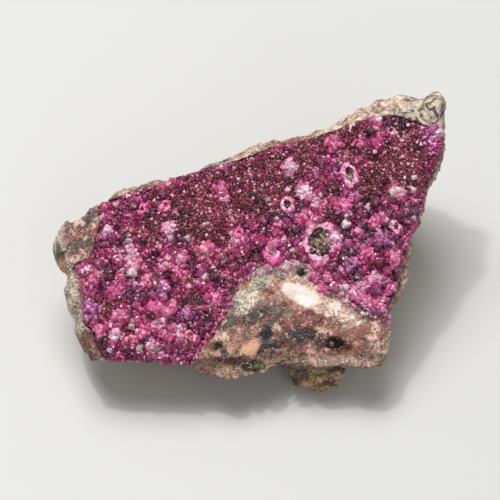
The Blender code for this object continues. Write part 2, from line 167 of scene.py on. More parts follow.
@dataclass(frozen=True)
class Spot:
    """A soft-edged oval on the face, carried down into the rock along the line of sight.

    Attributes:
        u: its middle along the face.
        v: its middle up the face.
        half_length: its reach along its own length.
        half_width: its reach across.
        turn: how far its length is turned from u towards v, in degrees.
        squareness: 2 for an oval, more for a shape with fuller corners.
    """

    u: float
    v: float
    half_length: float
    half_width: float
    turn: float = 0.0
    squareness: float = 2.0

    def reach(self, places: Array) -> Array:
        """How far each place is from the middle: 1 on the oval's edge.

        Args:
            places: points in the face's axes, one in each row.

        Returns:
            One number for each point.
        """
        turn = math.radians(self.turn)
        across, up = places[:, 0] - self.u, places[:, 1] + SIGHT_SLOPE * places[:, 2] - self.v
        along = across * math.cos(turn) + up * math.sin(turn)
        aside = up * math.cos(turn) - across * math.sin(turn)
        power = self.squareness
        sides = np.abs(along / self.half_length) ** power + np.abs(aside / self.half_width) ** power
        return sides ** (1 / power)


# Where the crust is fine and sugary.
SUGARY_STRETCHES = (
    Spot(-2.0, 9.6, 17.0, 5.6, 21),
    Spot(-12.0, 4.6, 9.5, 4.0, 10),
    Spot(28.6, 16.0, 4.6, 6.6, 20),
    Spot(13.0, 18.6, 7.0, 2.4, 18),
    Spot(22.6, 12.0, 3.2, 5.0, -10),
    Spot(-25.2, -11.2, 2.2, 1.8),
    Spot(-7.6, 1.4, 4.4, 2.2, 15),
    Spot(-10.0, -9.6, 2.0, 1.4),
)

# The u and v of points along the seam between the crust and the bare front patch, from right to left.
FRONT_SEAM = np.array([
    (24.4, -13.2), (20.8, -12.0), (18.4, -10.4), (17.2, -8.4), (14.6, -8.0), (13.0, -5.5), (11.2, -3.1),
    (7.2, -2.5), (3.6, -3.2), (0.0, -4.6), (-2.7, -7.0), (-4.6, -11.0), (-7.0, -15.2), (-9.2, -18.4),
    (-11.2, -21.9),
])

# The outlines of the three dark hollows that rings of crystal stand round.
RINGS = (Spot(12.65, 0.4, 2.2, 2.7), Spot(18.0, 12.8, 0.85, 1.5, 10), Spot(6.7, 7.3, 0.8, 0.8))


def fineness(places: Array) -> Array:
    """How fine and sugary the crust is: 1 in the middle of such a stretch, 0 where its crystals are coarse.

    Args:
        places: points in the face's axes, one in each row.

    Returns:
        One number for each point.
    """
    least = np.min([spot.reach(places) for spot in SUGARY_STRETCHES], axis=0)
    return 1.0 - smooth_step(0.75, 1.3, least + 0.35 * waviness(places, 3.2, 8.0, 3))


def ring_reach(places: Array) -> Array:
    """How far each place is from the nearest ring's middle: 1 on its hollow's edge."""
    return np.min([spot.reach(places) for spot in RINGS], axis=0)


def waviness(places: Array, length: float, seed: float = 0.0, octaves: int = 3) -> Array:
    """Soft noise at each place, about -1 to 1.

    Args:
        places: points, one in each row.
        length: the size of its swells, in the points' own units.
        seed: moves the noise, so that two uses differ.
        octaves: how many finer layers it has.

    Returns:
        One number for each point.
    """
    offset = Vector((seed * 7.1, seed * 3.7, seed * 5.3))
    return np.array([noise.fractal(Vector(p) / length + offset, 1.0, 2.0, octaves) for p in places])


@dataclass
class Skin:
    """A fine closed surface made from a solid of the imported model.

    Attributes:
        node: the solid's name.
        name: the new piece's name.
        cell: the size of its faces.
    """

    node: str
    name: str
    cell: float

    def build(self) -> bpy.types.Object:
        """Copies the solid, joins its loose faces and remeshes it in even cells.

        Returns:
            The new object, at the origin, with its place in its mesh.
        """
        solid = bmesh.new()
        solid.from_mesh(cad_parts[self.node].data)
        bmesh.ops.remove_doubles(solid, verts=solid.verts, dist=0.001 * MM)
        mesh = bpy.data.meshes.new(self.name)
        solid.to_mesh(mesh)
        solid.free()
        obj = bpy.data.objects.new(self.name, mesh)
        bpy.context.scene.collection.objects.link(obj)
        remesh = obj.modifiers.new("cells", "REMESH")
        remesh.mode = "VOXEL"
        remesh.voxel_size = self.cell * MM
        fine = bpy.data.meshes.new_from_object(obj.evaluated_get(bpy.context.evaluated_depsgraph_get()))
        obj.modifiers.clear()
        obj.data = fine
        fine.name = self.name
        return obj


def vertex_places(mesh: bpy.types.Mesh) -> Array:
    """The mesh's points in the row frame, in metres, one in each row.

    Args:
        mesh: the mesh to read.

    Returns:
        An array of points.
    """
    places = np.empty(len(mesh.vertices) * 3)
    mesh.vertices.foreach_get("co", places)
    return places.reshape(-1, 3)


def vertex_normals(mesh: bpy.types.Mesh) -> Array:
    """The outward direction at each of the mesh's points.

    Args:
        mesh: the mesh to read.

    Returns:
        An array of directions, one in each row.
    """
    normals = np.empty(len(mesh.vertices) * 3)
    mesh.vertices.foreach_get("normal", normals)
    return normals.reshape(-1, 3)


def move_vertices(mesh: bpy.types.Mesh, places: Array) -> None:
    """Puts the mesh's points at new places in the row frame, in metres."""
    mesh.vertices.foreach_set("co", places.ravel())
    mesh.update()


def paint(mesh: bpy.types.Mesh, name: str, colours: Array) -> None:
    """Stores a colour at each point of the mesh.

    Args:
        mesh: the mesh to paint.
        name: the attribute's name.
        colours: linear red, green and blue, one colour in each row.
    """
    layer = mesh.color_attributes.new(name, "FLOAT_COLOR", "POINT")
    full = np.ones((len(colours), 4))
    full[:, :3] = colours
    layer.data.foreach_set("color", full.ravel())


@dataclass
class Strewing:
    """Places strewn over a surface, kept a distance apart.

    Attributes:
        places: the places in the row frame, in metres.
        normals: the surface's outward direction at each.
        local: the places in the face's axes.
    """

    places: Array
    normals: Array
    local: Array

    def kept(self, mask: Array) -> "Strewing":
        """The places for which the mask is true."""
        return Strewing(self.places[mask], self.normals[mask], self.local[mask])


class Ground:
    """A surface that crystals and grains stand on."""

    def __init__(self, *objects: bpy.types.Object) -> None:
        """Reads the surface of the objects.

        Args:
            objects: mesh objects, at the origin.
        """
        corners, normals = [], []
        for obj in objects:
            mesh = obj.data
            mesh.calc_loop_triangles()
            index = np.empty(len(mesh.loop_triangles) * 3, np.int64)
            mesh.loop_triangles.foreach_get("vertices", index)
            corners.append(vertex_places(mesh)[index].reshape(-1, 3, 3))
            normals.append(vertex_normals(mesh)[index].reshape(-1, 3, 3))
        self.corners = np.concatenate(corners)
        self.normals = np.concatenate(normals)
        sides = self.corners[:, 1:] - self.corners[:, :1]
        self.areas = 0.5 * np.linalg.norm(np.cross(sides[:, 0], sides[:, 1]), axis=1)
        points = self.corners.reshape(-1, 3)
        faces = np.arange(len(points)).reshape(-1, 3)
        self.tree = BVHTree.FromPolygons(points.tolist(), faces.tolist())

    def strew(self, spacing: Callable[[Array], Array], where: Callable[[Array, Array], Array], seed: int,
              finest: float, crowding: float = 3.0) -> Strewing:
        """Strews places over the surface.

        Args:
            spacing: gives the least gap each place needs, in millimetres, from places in the face's axes.
            where: gives whether a place may be used, from places and directions in the face's axes.
            seed: the seed of the chances.
            finest: the smallest spacing that spacing gives.
            crowding: how many places are tried for each that may fit.

        Returns:
            The places that were kept.
        """
        dice = np.random.default_rng(seed)
        middles = FACE.from_row(self.corners.mean(axis=1))
        leans = self.normals.mean(axis=1) @ FACE.axes().T
        chance = self.areas * where(middles, leans)
        count = int(crowding * chance.sum() / (finest * MM) ** 2)
        picked = dice.choice(len(chance), count, p=chance / chance.sum())
        shares = dice.random((count, 2))
        over = shares.sum(axis=1) > 1.0
        shares[over] = 1.0 - shares[over]
        weights = np.column_stack((1.0 - shares.sum(axis=1), shares))[:, :, None]
        places = (self.corners[picked] * weights).sum(axis=1)
        normals = (self.normals[picked] * weights).sum(axis=1)
        normals /= np.linalg.norm(normals, axis=1, keepdims=True)
        local = FACE.from_row(places)
        keep = spread_out(local, spacing(local))
        return Strewing(places[keep], normals[keep], local[keep])

    def under(self, local: Array, height: float = 20.0) -> tuple[Strewing, Array]:
        """Drops places given by u and v onto the surface, straight down the face's n.

        Args:
            local: places in the face's axes; only u and v are read.
            height: how far above the face the drop starts.

        Returns:
            The places that hit the surface, and which of the given ones they are.
        """
        down = -Vector(FACE.axes()[2])
        start = FACE.to_row(np.column_stack((local[:, :2], np.full(len(local), height))))
        hits = [self.tree.ray_cast(Vector(point), down) for point in start]
        met = np.array([hit[0] is not None for hit in hits])
        places = np.array([tuple(hit[0]) for hit in hits if hit[0] is not None])
        normals = np.array([tuple(hit[1]) for hit in hits if hit[0] is not None])
        return Strewing(places, normals, FACE.from_row(places)), met


def spread_out(local: Array, gaps: Array) -> Array:
    """Which places to keep so that none is nearer to an earlier one than its own gap.

    Args:
        local: places in millimetres, in the order in which they are tried.
        gaps: the least distance that each needs.

    Returns:
        The indices of the places that are kept.
    """
    cell = float(gaps.max())
    filled: dict[tuple[int, int, int], list[int]] = {}
    around = [(i, j, k) for i in (-1, 0, 1) for j in (-1, 0, 1) for k in (-1, 0, 1)]
    cells = np.floor(local / cell).astype(int).tolist()
    points = local.tolist()
    squares = (gaps ** 2).tolist()
    keep = []
    for index, ((x, y, z), point, square) in enumerate(zip(cells, points, squares)):
        crowded = False
        for i, j, k in around:
            for other in filled.get((x + i, y + j, z + k), ()):
                near = points[other]
                gap = (near[0] - point[0]) ** 2 + (near[1] - point[1]) ** 2 + (near[2] - point[2]) ** 2
                if gap < square:
                    crowded = True
                    break
            if crowded:
                break
        if not crowded:
            keep.append(index)
            filled.setdefault((x, y, z), []).append(index)
    return np.array(keep)


class Form(Enum):
    """The shapes that crystals and grains have, each one unit across with its long axis up."""

    RHOMB = "rhomb"
    BLUNT_RHOMB = "blunt rhomb"
    NAILHEAD = "nailhead"
    NEEDLE = "needle"
    CHIP = "chip"


def form_mesh(form: Form) -> tuple[Array, list[list[int]]]:
    """Models one form.

    Args:
        form: which form.

    Returns:
        Its points, and its faces as lists of point numbers.
    """
    bm = bmesh.new()
    if form is Form.CHIP:
        bmesh.ops.create_cone(bm, cap_ends=True, segments=5, radius1=0.5, radius2=0.22, depth=0.6)
        bmesh.ops.rotate(bm, verts=bm.verts, matrix=Matrix.Rotation(0.4, 3, "X"))
    elif form is Form.NEEDLE:
        bmesh.ops.create_cone(bm, cap_ends=True, segments=5, radius1=0.05, radius2=0.03, depth=1.0)
    else:
        upright = Vector((1, 1, 1)).rotation_difference(Vector((0, 0, 1))).to_matrix().to_4x4()
        bmesh.ops.create_cube(bm, size=1.0, matrix=upright)
    if form is Form.NAILHEAD:
        cut = bmesh.ops.bisect_plane(bm, geom=bm.verts[:] + bm.edges[:] + bm.faces[:], plane_co=(0, 0, 0.52),
                                     plane_no=(0.1, 0.05, 1), clear_outer=True)["geom_cut"]
        bmesh.ops.contextual_create(bm, geom=[item for item in cut if isinstance(item, bmesh.types.BMEdge)])
    if form in (Form.BLUNT_RHOMB, Form.NAILHEAD):
        bmesh.ops.bevel(bm, geom=bm.edges[:], offset=0.05, offset_type="OFFSET", segments=1, profile=0.5,
                        affect="EDGES", material=-1)
    bmesh.ops.recalc_face_normals(bm, faces=bm.faces)
    bm.verts.index_update()
    points = np.array([tuple(vert.co) for vert in bm.verts])
    faces = [[vert.index for vert in face.verts] for face in bm.faces]
    bm.free()
    return points, faces


@dataclass(frozen=True)
class Growth:
    """How a crop of crystals stands on its ground, and its painted shade and painted light from root to tip.

    Attributes:
        lean: how far they lean from the ground's normal, in degrees.
        rise: how high their middles are over the ground, as a share of their size.
        stretch: the least and most that they are drawn out along their long axis.
        root: how bright their roots are, as painted shade between the crystals.
        tip: how bright their tips are, as painted light.
        tip_highlight: how far their tips turn pale pink, as a painted highlight.
    """

    lean: float = 50.0
    rise: float = 0.08
    stretch: tuple[float, float] = (0.8, 1.25)
    root: float = 0.45
    tip: float = 1.15
    tip_highlight: float = 0.2


GRAIN_GROWTH = Growth(lean=80, rise=0.0, stretch=(0.7, 1.2), root=0.7, tip=1.1, tip_highlight=0.0)
SUGAR_GROWTH = Growth(lean=60, rise=0.05, stretch=(0.8, 1.3), root=0.8, tip=1.0, tip_highlight=0.05)
SMALL_GROWTH = Growth(lean=52, rise=-0.05, stretch=(0.8, 1.4), root=0.62, tip=0.92, tip_highlight=0.08)
BLOCK_GROWTH = Growth(lean=45, rise=-0.2, stretch=(0.8, 1.4), root=0.55, tip=0.92, tip_highlight=0.12)
LONE_GROWTH = Growth(lean=35, rise=0.2, stretch=(0.9, 1.1), root=0.6, tip=1.05, tip_highlight=0.1)
ROSETTE_GROWTH = Growth(lean=20, rise=-0.08, stretch=(0.85, 1.15), root=0.6, tip=1.1, tip_highlight=0.25)
FRINGE_GROWTH = Growth(lean=60, rise=0.1, stretch=(0.8, 1.3), root=0.6, tip=1.1, tip_highlight=0.3)
FILLING_GROWTH = Growth(lean=70, rise=0.1, stretch=(0.7, 1.2))
SPARK_GROWTH = Growth(lean=30, rise=0.3, stretch=(1.0, 1.2), root=1.0, tip=1.2, tip_highlight=0.0)
THREAD_GROWTH = Growth(lean=6, rise=0.0, stretch=(0.9, 1.1), root=1.0, tip=1.0, tip_highlight=0.0)


@dataclass
class Crystals:
    """Many small solids of a few forms, joined in one mesh.

    Attributes:
        name: the piece's name.
        forms: the forms that they take by chance.
        points: their points in the row frame, in metres, a block for each crop.
        colours: the linear colour of each point, with painted shade at the roots and painted highlights at the
            tips.
        loops: their faces' point numbers.
        sizes: how many corners each face has.
        count: how many points there are so far.
    """

    name: str
    forms: tuple[Form, ...]
    points: list[Array] = field(default_factory=list)
    colours: list[Array] = field(default_factory=list)
    loops: list[Array] = field(default_factory=list)
    sizes: list[Array] = field(default_factory=list)
    count: int = 0

    def add(self, strewn: Strewing, sizes: Array, colours: Array, dice: np.random.Generator,
            growth: Growth) -> None:
        """Adds solids that stand on the places.

        Args:
            strewn: where they stand.
            sizes: how large each is, in millimetres.
            colours: the linear colour of each.
            dice: the source of chance.
            growth: how they stand, and their painted shade and highlight.
        """
        kinds = dice.integers(0, len(self.forms), len(sizes))
        for kind, form in enumerate(self.forms):
            of_kind = kinds == kind
            if of_kind.any():
                self._add_form(form, strewn.kept(of_kind), sizes[of_kind], colours[of_kind], dice, growth)

    def _add_form(self, form: Form, strewn: Strewing, sizes: Array, colours: Array,
                  dice: np.random.Generator, growth: Growth) -> None:
        """Adds solids of one form.

        Args:
            form: their form.
            strewn: where they stand.
            sizes: how large each is, in millimetres.
            colours: the linear colour of each.
            dice: the source of chance.
            growth: how they stand, and their painted shade and highlight.
        """
        number = len(sizes)
        points, faces = form_mesh(form)
        turns = random_turns(strewn.normals, math.radians(growth.lean), dice)
        scale = np.ones((number, 1, 3))
        scale[:, 0, 2] = dice.uniform(*growth.stretch, number)
        scale[:, 0, :2] *= dice.uniform(0.85, 1.15, (number, 2))
        local = points[None] * scale * (sizes * MM)[:, None, None]
        placed = np.einsum("nij,nvj->nvi", turns, local)
        # Painted shade and light: each point is darker towards its crystal's root and lighter towards its tip,
        # and the tip turns pale pink as a painted highlight.
        heights = (placed * strewn.normals[:, None]).sum(axis=2) / (sizes * MM)[:, None]
        up = np.clip(0.5 + heights / 1.5, 0.0, 1.0)[:, :, None]
        shaded = colours[:, None] * (growth.root + (growth.tip - growth.root) * up)
        pale = growth.tip_highlight * smooth_step(0.6, 1.0, up)
        shaded = shaded * (1 - pale) + linear(TIP_HIGHLIGHT_PINK) * pale
        middles = strewn.places + strewn.normals * (sizes * MM * growth.rise)[:, None]
        start = self.count + np.arange(number) * len(points)
        for face in faces:
            self.loops.append(start[:, None] + np.array(face)[None])
            self.sizes.append(np.full(number, len(face)))
        self.points.append((placed + middles[:, None]).reshape(-1, 3))
        self.colours.append(shaded.reshape(-1, 3))
        self.count += number * len(points)

    def build(self) -> bpy.types.Object:
        """Joins everything that was added in one mesh, painted with each solid's colour.

        Returns:
            The new object, at the origin.
        """
        mesh = bpy.data.meshes.new(self.name)
        points = np.concatenate(self.points)
        loops = np.concatenate([block.ravel() for block in self.loops])
        sizes = np.concatenate(self.sizes)
        mesh.vertices.add(len(points))
        mesh.vertices.foreach_set("co", points.ravel())
        mesh.loops.add(len(loops))
        mesh.loops.foreach_set("vertex_index", loops)
        mesh.polygons.add(len(sizes))
        mesh.polygons.foreach_set("loop_start", np.concatenate(([0], np.cumsum(sizes)[:-1])))
        mesh.update(calc_edges=True)
        mesh.validate()
        paint(mesh, TINT, np.concatenate(self.colours))
        obj = bpy.data.objects.new(self.name, mesh)
        bpy.context.scene.collection.objects.link(obj)
        return obj


def random_turns(normals: Array, lean: float, dice: np.random.Generator) -> Array:
    """Turns that set a form's long axis near each normal, and spin it about that axis.

    Args:
        normals: the outward directions.
        lean: how far the long axis may be from the normal, in radians.
        dice: the source of chance.

    Returns:
        One 3 by 3 matrix for each normal.
    """
    number = len(normals)
    aside = dice.normal(size=(number, 3))
    aside -= normals * (aside * normals).sum(axis=1, keepdims=True)
    aside /= np.linalg.norm(aside, axis=1, keepdims=True)
    angle = lean * np.sqrt(dice.random(number))[:, None]
    up = normals * np.cos(angle) + aside * np.sin(angle)
    side = np.cross(up, dice.normal(size=(number, 3)))
    side /= np.linalg.norm(side, axis=1, keepdims=True)
    return np.stack((side, np.cross(up, side), up), axis=2)


@dataclass(frozen=True)
class Palette:
    """Colours that grains are picked from.

    Attributes:
        colours: the colours, as a screen shows them.
        shares: how often each comes up.
    """

    colours: tuple[Colour, ...]
    shares: tuple[float, ...]

    def pick(self, number: int, dice: np.random.Generator, spread: float = 0.18) -> Array:
        """Picks colours by chance, each a little lighter or darker than it is listed.

        Args:
            number: how many.
            dice: the source of chance.
            spread: how much lighter or darker they may be.

        Returns:
            Linear colours, one in each row.
        """
        chance = np.array(self.shares) / sum(self.shares)
        picked = np.array([linear(c) for c in self.colours])[dice.choice(len(chance), number, p=chance)]
        return picked * np.exp(dice.normal(0.0, spread, (number, 1)))


@dataclass(frozen=True)
class Scale:
    """Colours in order, from the darkest to the palest.

    Attributes:
        colours: the colours, as a screen shows them.
    """

    colours: tuple[Colour, ...]

    def at(self, share: Array) -> Array:
        """The colours at shares from 0 to 1 of the way along.

        Args:
            share: one number for each colour that is wanted.

        Returns:
            Linear colours, one in each row.
        """
        steps = np.array([linear(colour) for colour in self.colours])
        along = np.clip(share, 0.0, 1.0) * (len(steps) - 1)
        low = np.minimum(along.astype(int), len(steps) - 2)
        rest = (along - low)[:, None]
        return steps[low] * (1 - rest) + steps[low + 1] * rest


# The crust's colours: magenta in most places, crimson and violet in some, and brown in the sugary ones.
MAGENTA = Scale(((60, 8, 36), (104, 14, 60), (142, 22, 84), (176, 36, 108), (204, 70, 138), (230, 134, 180),
                 (246, 206, 224)))
CRIMSON = Scale(((68, 10, 34), (112, 16, 56), (150, 28, 82), (184, 48, 106), (212, 92, 140), (238, 158, 186),
                 (248, 212, 222)))
VIOLET = Scale(((44, 6, 32), (80, 12, 54), (118, 24, 84), (152, 44, 114), (186, 90, 150), (222, 156, 196),
                (240, 210, 228)))
SUGAR = Scale(((44, 8, 16), (70, 14, 26), (96, 22, 38), (122, 38, 54), (156, 68, 80), (206, 136, 140),
               (244, 212, 208)))
POCKET = Palette(((74, 58, 40), (102, 84, 58), (44, 36, 26), (134, 110, 88), (190, 176, 158)),
                 (0.40, 0.26, 0.24, 0.07, 0.03))
THREADS = Palette(((150, 128, 96), (126, 92, 76), (190, 178, 140)), (0.4, 0.4, 0.2))
GREY_WHITE = Palette(((214, 192, 196), (240, 222, 226), (186, 158, 164)), (0.4, 0.35, 0.25))
# The pale pink of the painted highlight on the crystals' tips.
TIP_HIGHLIGHT_PINK = (244, 188, 214)
# The pink of the crystals' milky clouds, and the pink of their painted glints.
CLOUD_PINK, GLINT_PINK = (228, 112, 166), (250, 190, 214)
HOLLOW = (50, 44, 32)
GOLD = (250, 160, 40)


@dataclass(frozen=True)
class Stretch:
    """A stretch of the crust that is lighter or darker than the rest.

    Attributes:
        spot: where it is.
        lift: how much lighter it is, as a share of the colour scale.
    """

    spot: Spot
    lift: float


@dataclass(frozen=True)
class DarkMark:
    """A small dark mark among the crystals.

    Attributes:
        spot: where it is.
        colour: its colour, as a screen shows it.
    """

    spot: Spot
    colour: Colour


STRETCHES = (
    Stretch(Spot(20.7, 3.4, 7.0, 6.0), -0.12),
    Stretch(Spot(21.0, -7.6, 4.6, 5.2), 0.17),
    Stretch(Spot(-14.0, 4.1, 6.0, 4.0), -0.08),
    Stretch(Spot(-5.4, 9.6, 7.0, 5.0, 15), 0.08),
)
DARK_MARKS = (
    # The first is a painted shadow in a gap between crystals; the others are dark spots of the crust's own.
    DarkMark(Spot(-18.5, -9.0, 0.9, 0.7), (70, 46, 44)),
    DarkMark(Spot(-9.9, -10.1, 1.9, 1.1), (92, 42, 56)),
    DarkMark(Spot(-25.4, -18.3, 0.7, 0.6), (72, 66, 74)),
    DarkMark(Spot(-16.4, -18.8, 0.7, 0.6), (96, 94, 76)),
    DarkMark(Spot(0.7, 9.3, 0.6, 0.5), (44, 60, 64)),
)


@dataclass(frozen=True)
class CrustColours:
    """The crust's colours, which drift from place to place, so that neighbours are alike.

    Attributes:
        hue_length: how long the stretches of one hue are.
        shade_length: how long the lighter and darker stretches are.
        middle: how far up its scale a crystal is on average.
        drift: how far the stretches differ.
        chance: how far neighbours differ.
        sparkling: how many crystals are given the palest colours, as painted glints.
    """

    hue_length: float = 6.0
    shade_length: float = 2.3
    middle: float = 0.37
    drift: float = 0.75
    chance: float = 0.08
    sparkling: float = 0.035

    def at(self, local: Array, dice: np.random.Generator) -> Array:
        """The colour of a crystal at each place.

        Args:
            local: places in the face's axes.
            dice: the source of chance.

        Returns:
            Linear colours, one in each row.
        """
        number = len(local)
        drift = self.drift * (1.0 - 0.6 * fineness(local))
        shade = self.middle + drift * waviness(local, self.shade_length, 12.0)
        shade += dice.normal(0.0, self.chance, number)
        for stretch in STRETCHES:
            shade += stretch.lift * (1.0 - smooth_step(0.8, 1.2, stretch.spot.reach(local)))
        # Painted glints: a few crystals are given the palest colours of the scale.
        shade = np.where(dice.random(number) < self.sparkling, dice.uniform(0.8, 1.0, number), shade)
        hue = waviness(local, self.hue_length, 13.0, 2) + 0.006 * local[:, 0]
        colours = MAGENTA.at(shade)
        for scale, share in ((CRIMSON, smooth_step(0.0, -0.35, hue)), (VIOLET, smooth_step(0.16, 0.5, hue))):
            colours = colours * (1 - share[:, None]) + scale.at(shade) * share[:, None]
        sugary = 0.86 * fineness(local) + 0.7 * smooth_step(0.1, 0.5, waviness(local, 3.6, 3.0))
        brown = (dice.random(number) < sugary)[:, None]
        colours = np.where(brown, SUGAR.at(shade), colours)
        for mark in DARK_MARKS:
            share = 0.9 * (1.0 - smooth_step(0.8, 1.3, mark.spot.reach(local)))[:, None]
            colours = colours * (1 - share) + linear(mark.colour) * share
        return colours


# The sockets of a Mix node that blends colours.
MIX_FIRST, MIX_SECOND, MIX_RESULT = 6, 7, 2


class Nodes:
    """Builds a node material step by step."""

    def __init__(self, name: str) -> None:
        """Starts a material with its surface shader and its output.

        Args:
            name: the material's name.
        """
        self.material = bpy.data.materials.new(name)
        self.material.use_nodes = True
        self.tree = self.material.node_tree
        self.shader = self.tree.nodes["Principled BSDF"]
        self.place = self.tree.nodes.new("ShaderNodeTexCoord").outputs["Object"]

    def link(self, value: object, socket: bpy.types.NodeSocket) -> None:
        """Links the value to the socket, or sets it there if it is a plain number or colour.

        Args:
            value: a socket, a number or a colour.
            socket: where it goes.
        """
        if isinstance(value, bpy.types.NodeSocket):
            self.tree.links.new(value, socket)
        else:
            socket.default_value = value

    def noise(self, length: float, detail: float = 3.0, distortion: float = 0.0) -> bpy.types.NodeSocket:
        """Noise whose swells are about length millimetres long.

        Args:
            length: how long its swells are.
            detail: how many finer layers it has.
            distortion: how far it is bent.

        Returns:
            The noise, from 0 to 1.
        """
        node = self.tree.nodes.new("ShaderNodeTexNoise")
        node.inputs["Scale"].default_value = 1.0 / (length * MM)
        node.inputs["Detail"].default_value = detail
        node.inputs["Distortion"].default_value = distortion
        self.link(self.place, node.inputs["Vector"])
        return node.outputs["Fac"]

    def cells(self, length: float, output: str = "Color") -> bpy.types.NodeSocket:
        """Cells about length millimetres across: their own colours, or the distance to their middles.

        Args:
            length: how wide they are.
            output: which of the two, by the node's own name for it.

        Returns:
            The colour or the distance.
        """
        node = self.tree.nodes.new("ShaderNodeTexVoronoi")
        node.inputs["Scale"].default_value = 1.0 / (length * MM)
        self.link(self.place, node.inputs["Vector"])
        return node.outputs[output]

    def reach(self, value: object) -> bpy.types.NodeSocket:
        """How far a number is from 0.

        Args:
            value: the number.

        Returns:
            The number without its sign.
        """
        node = self.tree.nodes.new("ShaderNodeMath")
        node.operation = "ABSOLUTE"
        self.link(value, node.inputs[0])
        return node.outputs[0]

    def split(self, colour: object) -> bpy.types.NodeSocketCollection:
        """The red, green and blue of a colour, as three numbers.

        Args:
            colour: the colour.

        Returns:
            The three numbers.
        """
        node = self.tree.nodes.new("ShaderNodeSeparateColor")
        self.link(colour, node.inputs["Color"])
        return node.outputs

    def grade(self, value: object, low: float, high: float, start: float, end: float) -> bpy.types.NodeSocket:
        """Maps a number from low..high to start..end, held at the ends.

        Args:
            value: the number.
            low: the least value that is mapped.
            high: the greatest.
            start: what low becomes.
            end: what high becomes.

        Returns:
            The mapped number.
        """
        node = self.tree.nodes.new("ShaderNodeMapRange")
        for name, number in (("From Min", low), ("From Max", high), ("To Min", start), ("To Max", end)):
            node.inputs[name].default_value = number
        self.link(value, node.inputs["Value"])
        return node.outputs["Result"]

    def mix(self, kind: str, share: object, first: object, second: object) -> bpy.types.NodeSocket:
        """Blends two colours in the named way.

        Args:
            kind: the blend's name in the node.
            share: how much of the second is used.
            first: the first colour.
            second: the second colour.

        Returns:
            The blended colour.
        """
        node = self.tree.nodes.new("ShaderNodeMix")
        node.data_type = "RGBA"
        node.blend_type = kind
        self.link(share, node.inputs["Factor"])
        self.link(first, node.inputs[MIX_FIRST])
        self.link(second, node.inputs[MIX_SECOND])
        return node.outputs[MIX_RESULT]

    def attribute(self, name: str) -> bpy.types.NodeSocket:
        """The colour stored on the mesh under the name.

        Args:
            name: the attribute's name.

        Returns:
            The colour.
        """
        node = self.tree.nodes.new("ShaderNodeAttribute")
        node.attribute_name = name
        return node.outputs["Color"]

    def bump(self, height: object, strength: float, distance: float) -> None:
        """Raises the surface's look by the height, over the distance in millimetres.

        Args:
            height: the height, from 0 to 1.
            strength: how strong the effect is.
            distance: how high a height of 1 is.
        """
        node = self.tree.nodes.new("ShaderNodeBump")
        node.inputs["Strength"].default_value = strength
        node.inputs["Distance"].default_value = distance * MM
        self.link(height, node.inputs["Height"])
        self.link(node.outputs["Normal"], self.shader.inputs["Normal"])

    def finish(self, **values: object) -> bpy.types.Material:
        """Sets the shader's own inputs, named with underscores for spaces, and gives the material.

        Args:
            values: the value of each input.

        Returns:
            The material.
        """
        for name, value in values.items():
            self.link(value, self.shader.inputs[name.replace("_", " ")])
        return self.material


@dataclass(frozen=True)
class CrystalFinish:
    """Glossy, partly clear calcite whose colour is stored on each crystal, with painted glints on a few
    facets.

    Attributes:
        name: the material's name.
        clearness: how much light goes through rather than back.
        glow: how much light wanders about inside before it comes back out.
        roughness: how dull its faces are.
        cloud: the size of the paler clouds in it.
        cloud_share: how strong the clouds are.
        facet: the size of the flat steps on its faces.
    """

    name: str
    clearness: float = 0.2
    glow: float = 0.35
    roughness: float = 0.16
    cloud: float = 0.5
    cloud_share: float = 0.35
    facet: float = 0.45

    def material(self) -> bpy.types.Material:
        """Makes the node material.

        Returns:
            The material.
        """
        nodes = Nodes(self.name)
        tint = nodes.attribute(TINT)
        clouds = nodes.grade(nodes.noise(self.cloud, 4.0), 0.52, 0.78, 0.0, self.cloud_share)
        pale = nodes.mix("MIX", clouds, tint, (*linear(CLOUD_PINK), 1.0))
        depth = nodes.grade(nodes.noise(1.4 * self.cloud, 3.0), 0.34, 0.62, 0.5, 1.1)
        shaded = nodes.mix("MULTIPLY", 1.0, pale, depth)
        bright, white, _ = nodes.split(nodes.cells(self.facet))[:3]
        stepped = nodes.mix("MULTIPLY", 1.0, shaded, nodes.grade(bright, 0.0, 1.0, 0.68, 1.15))
        # Painted glints: a few facet cells turn pale pink, as painted highlights.
        glints = nodes.grade(white, 0.955, 0.985, 0.0, 0.45)
        colour = nodes.mix("MIX", glints, stepped, (*linear(GLINT_PINK), 1.0))
        nodes.bump(nodes.cells(self.facet, "Distance"), strength=0.7, distance=0.12)
        return nodes.finish(
            Base_Color=colour, Roughness=self.roughness, IOR=1.5, Specular_IOR_Level=0.36, Metallic=0.0,
            Transmission_Weight=self.clearness, Subsurface_Weight=self.glow,
            Subsurface_Radius=(0.9, 0.25, 0.5), Subsurface_Scale=0.5 * MM,
        )


BED_FINISH = CrystalFinish(
    "crust_bed", clearness=0.0, glow=0.3, roughness=0.22, cloud=0.7, cloud_share=0.3)
SUGAR_FINISH = CrystalFinish(
    "sugar", clearness=0.0, glow=0.2, roughness=0.12, cloud=0.3, cloud_share=0.1, facet=0.3)
SMALL_FINISH = CrystalFinish(
    "small_calcite", clearness=0.08, glow=0.3, roughness=0.12, cloud=0.4, cloud_share=0.3)
BLOCK_FINISH = CrystalFinish(
    "blocky_calcite", clearness=0.12, glow=0.35, roughness=0.1, cloud=0.5, cloud_share=0.4)
ROSETTE_FINISH = CrystalFinish(
    "rosette_calcite", clearness=0.1, glow=0.4, roughness=0.12, cloud=0.5, cloud_share=0.3)
RING_FINISH = CrystalFinish(
    "ring_calcite", clearness=0.0, glow=0.4, roughness=0.15, cloud=0.4, cloud_share=0.2)
FILLING_FINISH = CrystalFinish(
    "ring_fillings", clearness=0.0, glow=0.0, roughness=0.4, cloud=0.5, cloud_share=0.05)
THREAD_FINISH = CrystalFinish(
    "ring_threads", clearness=0.0, glow=0.0, roughness=0.5, cloud=0.5, cloud_share=0.0)

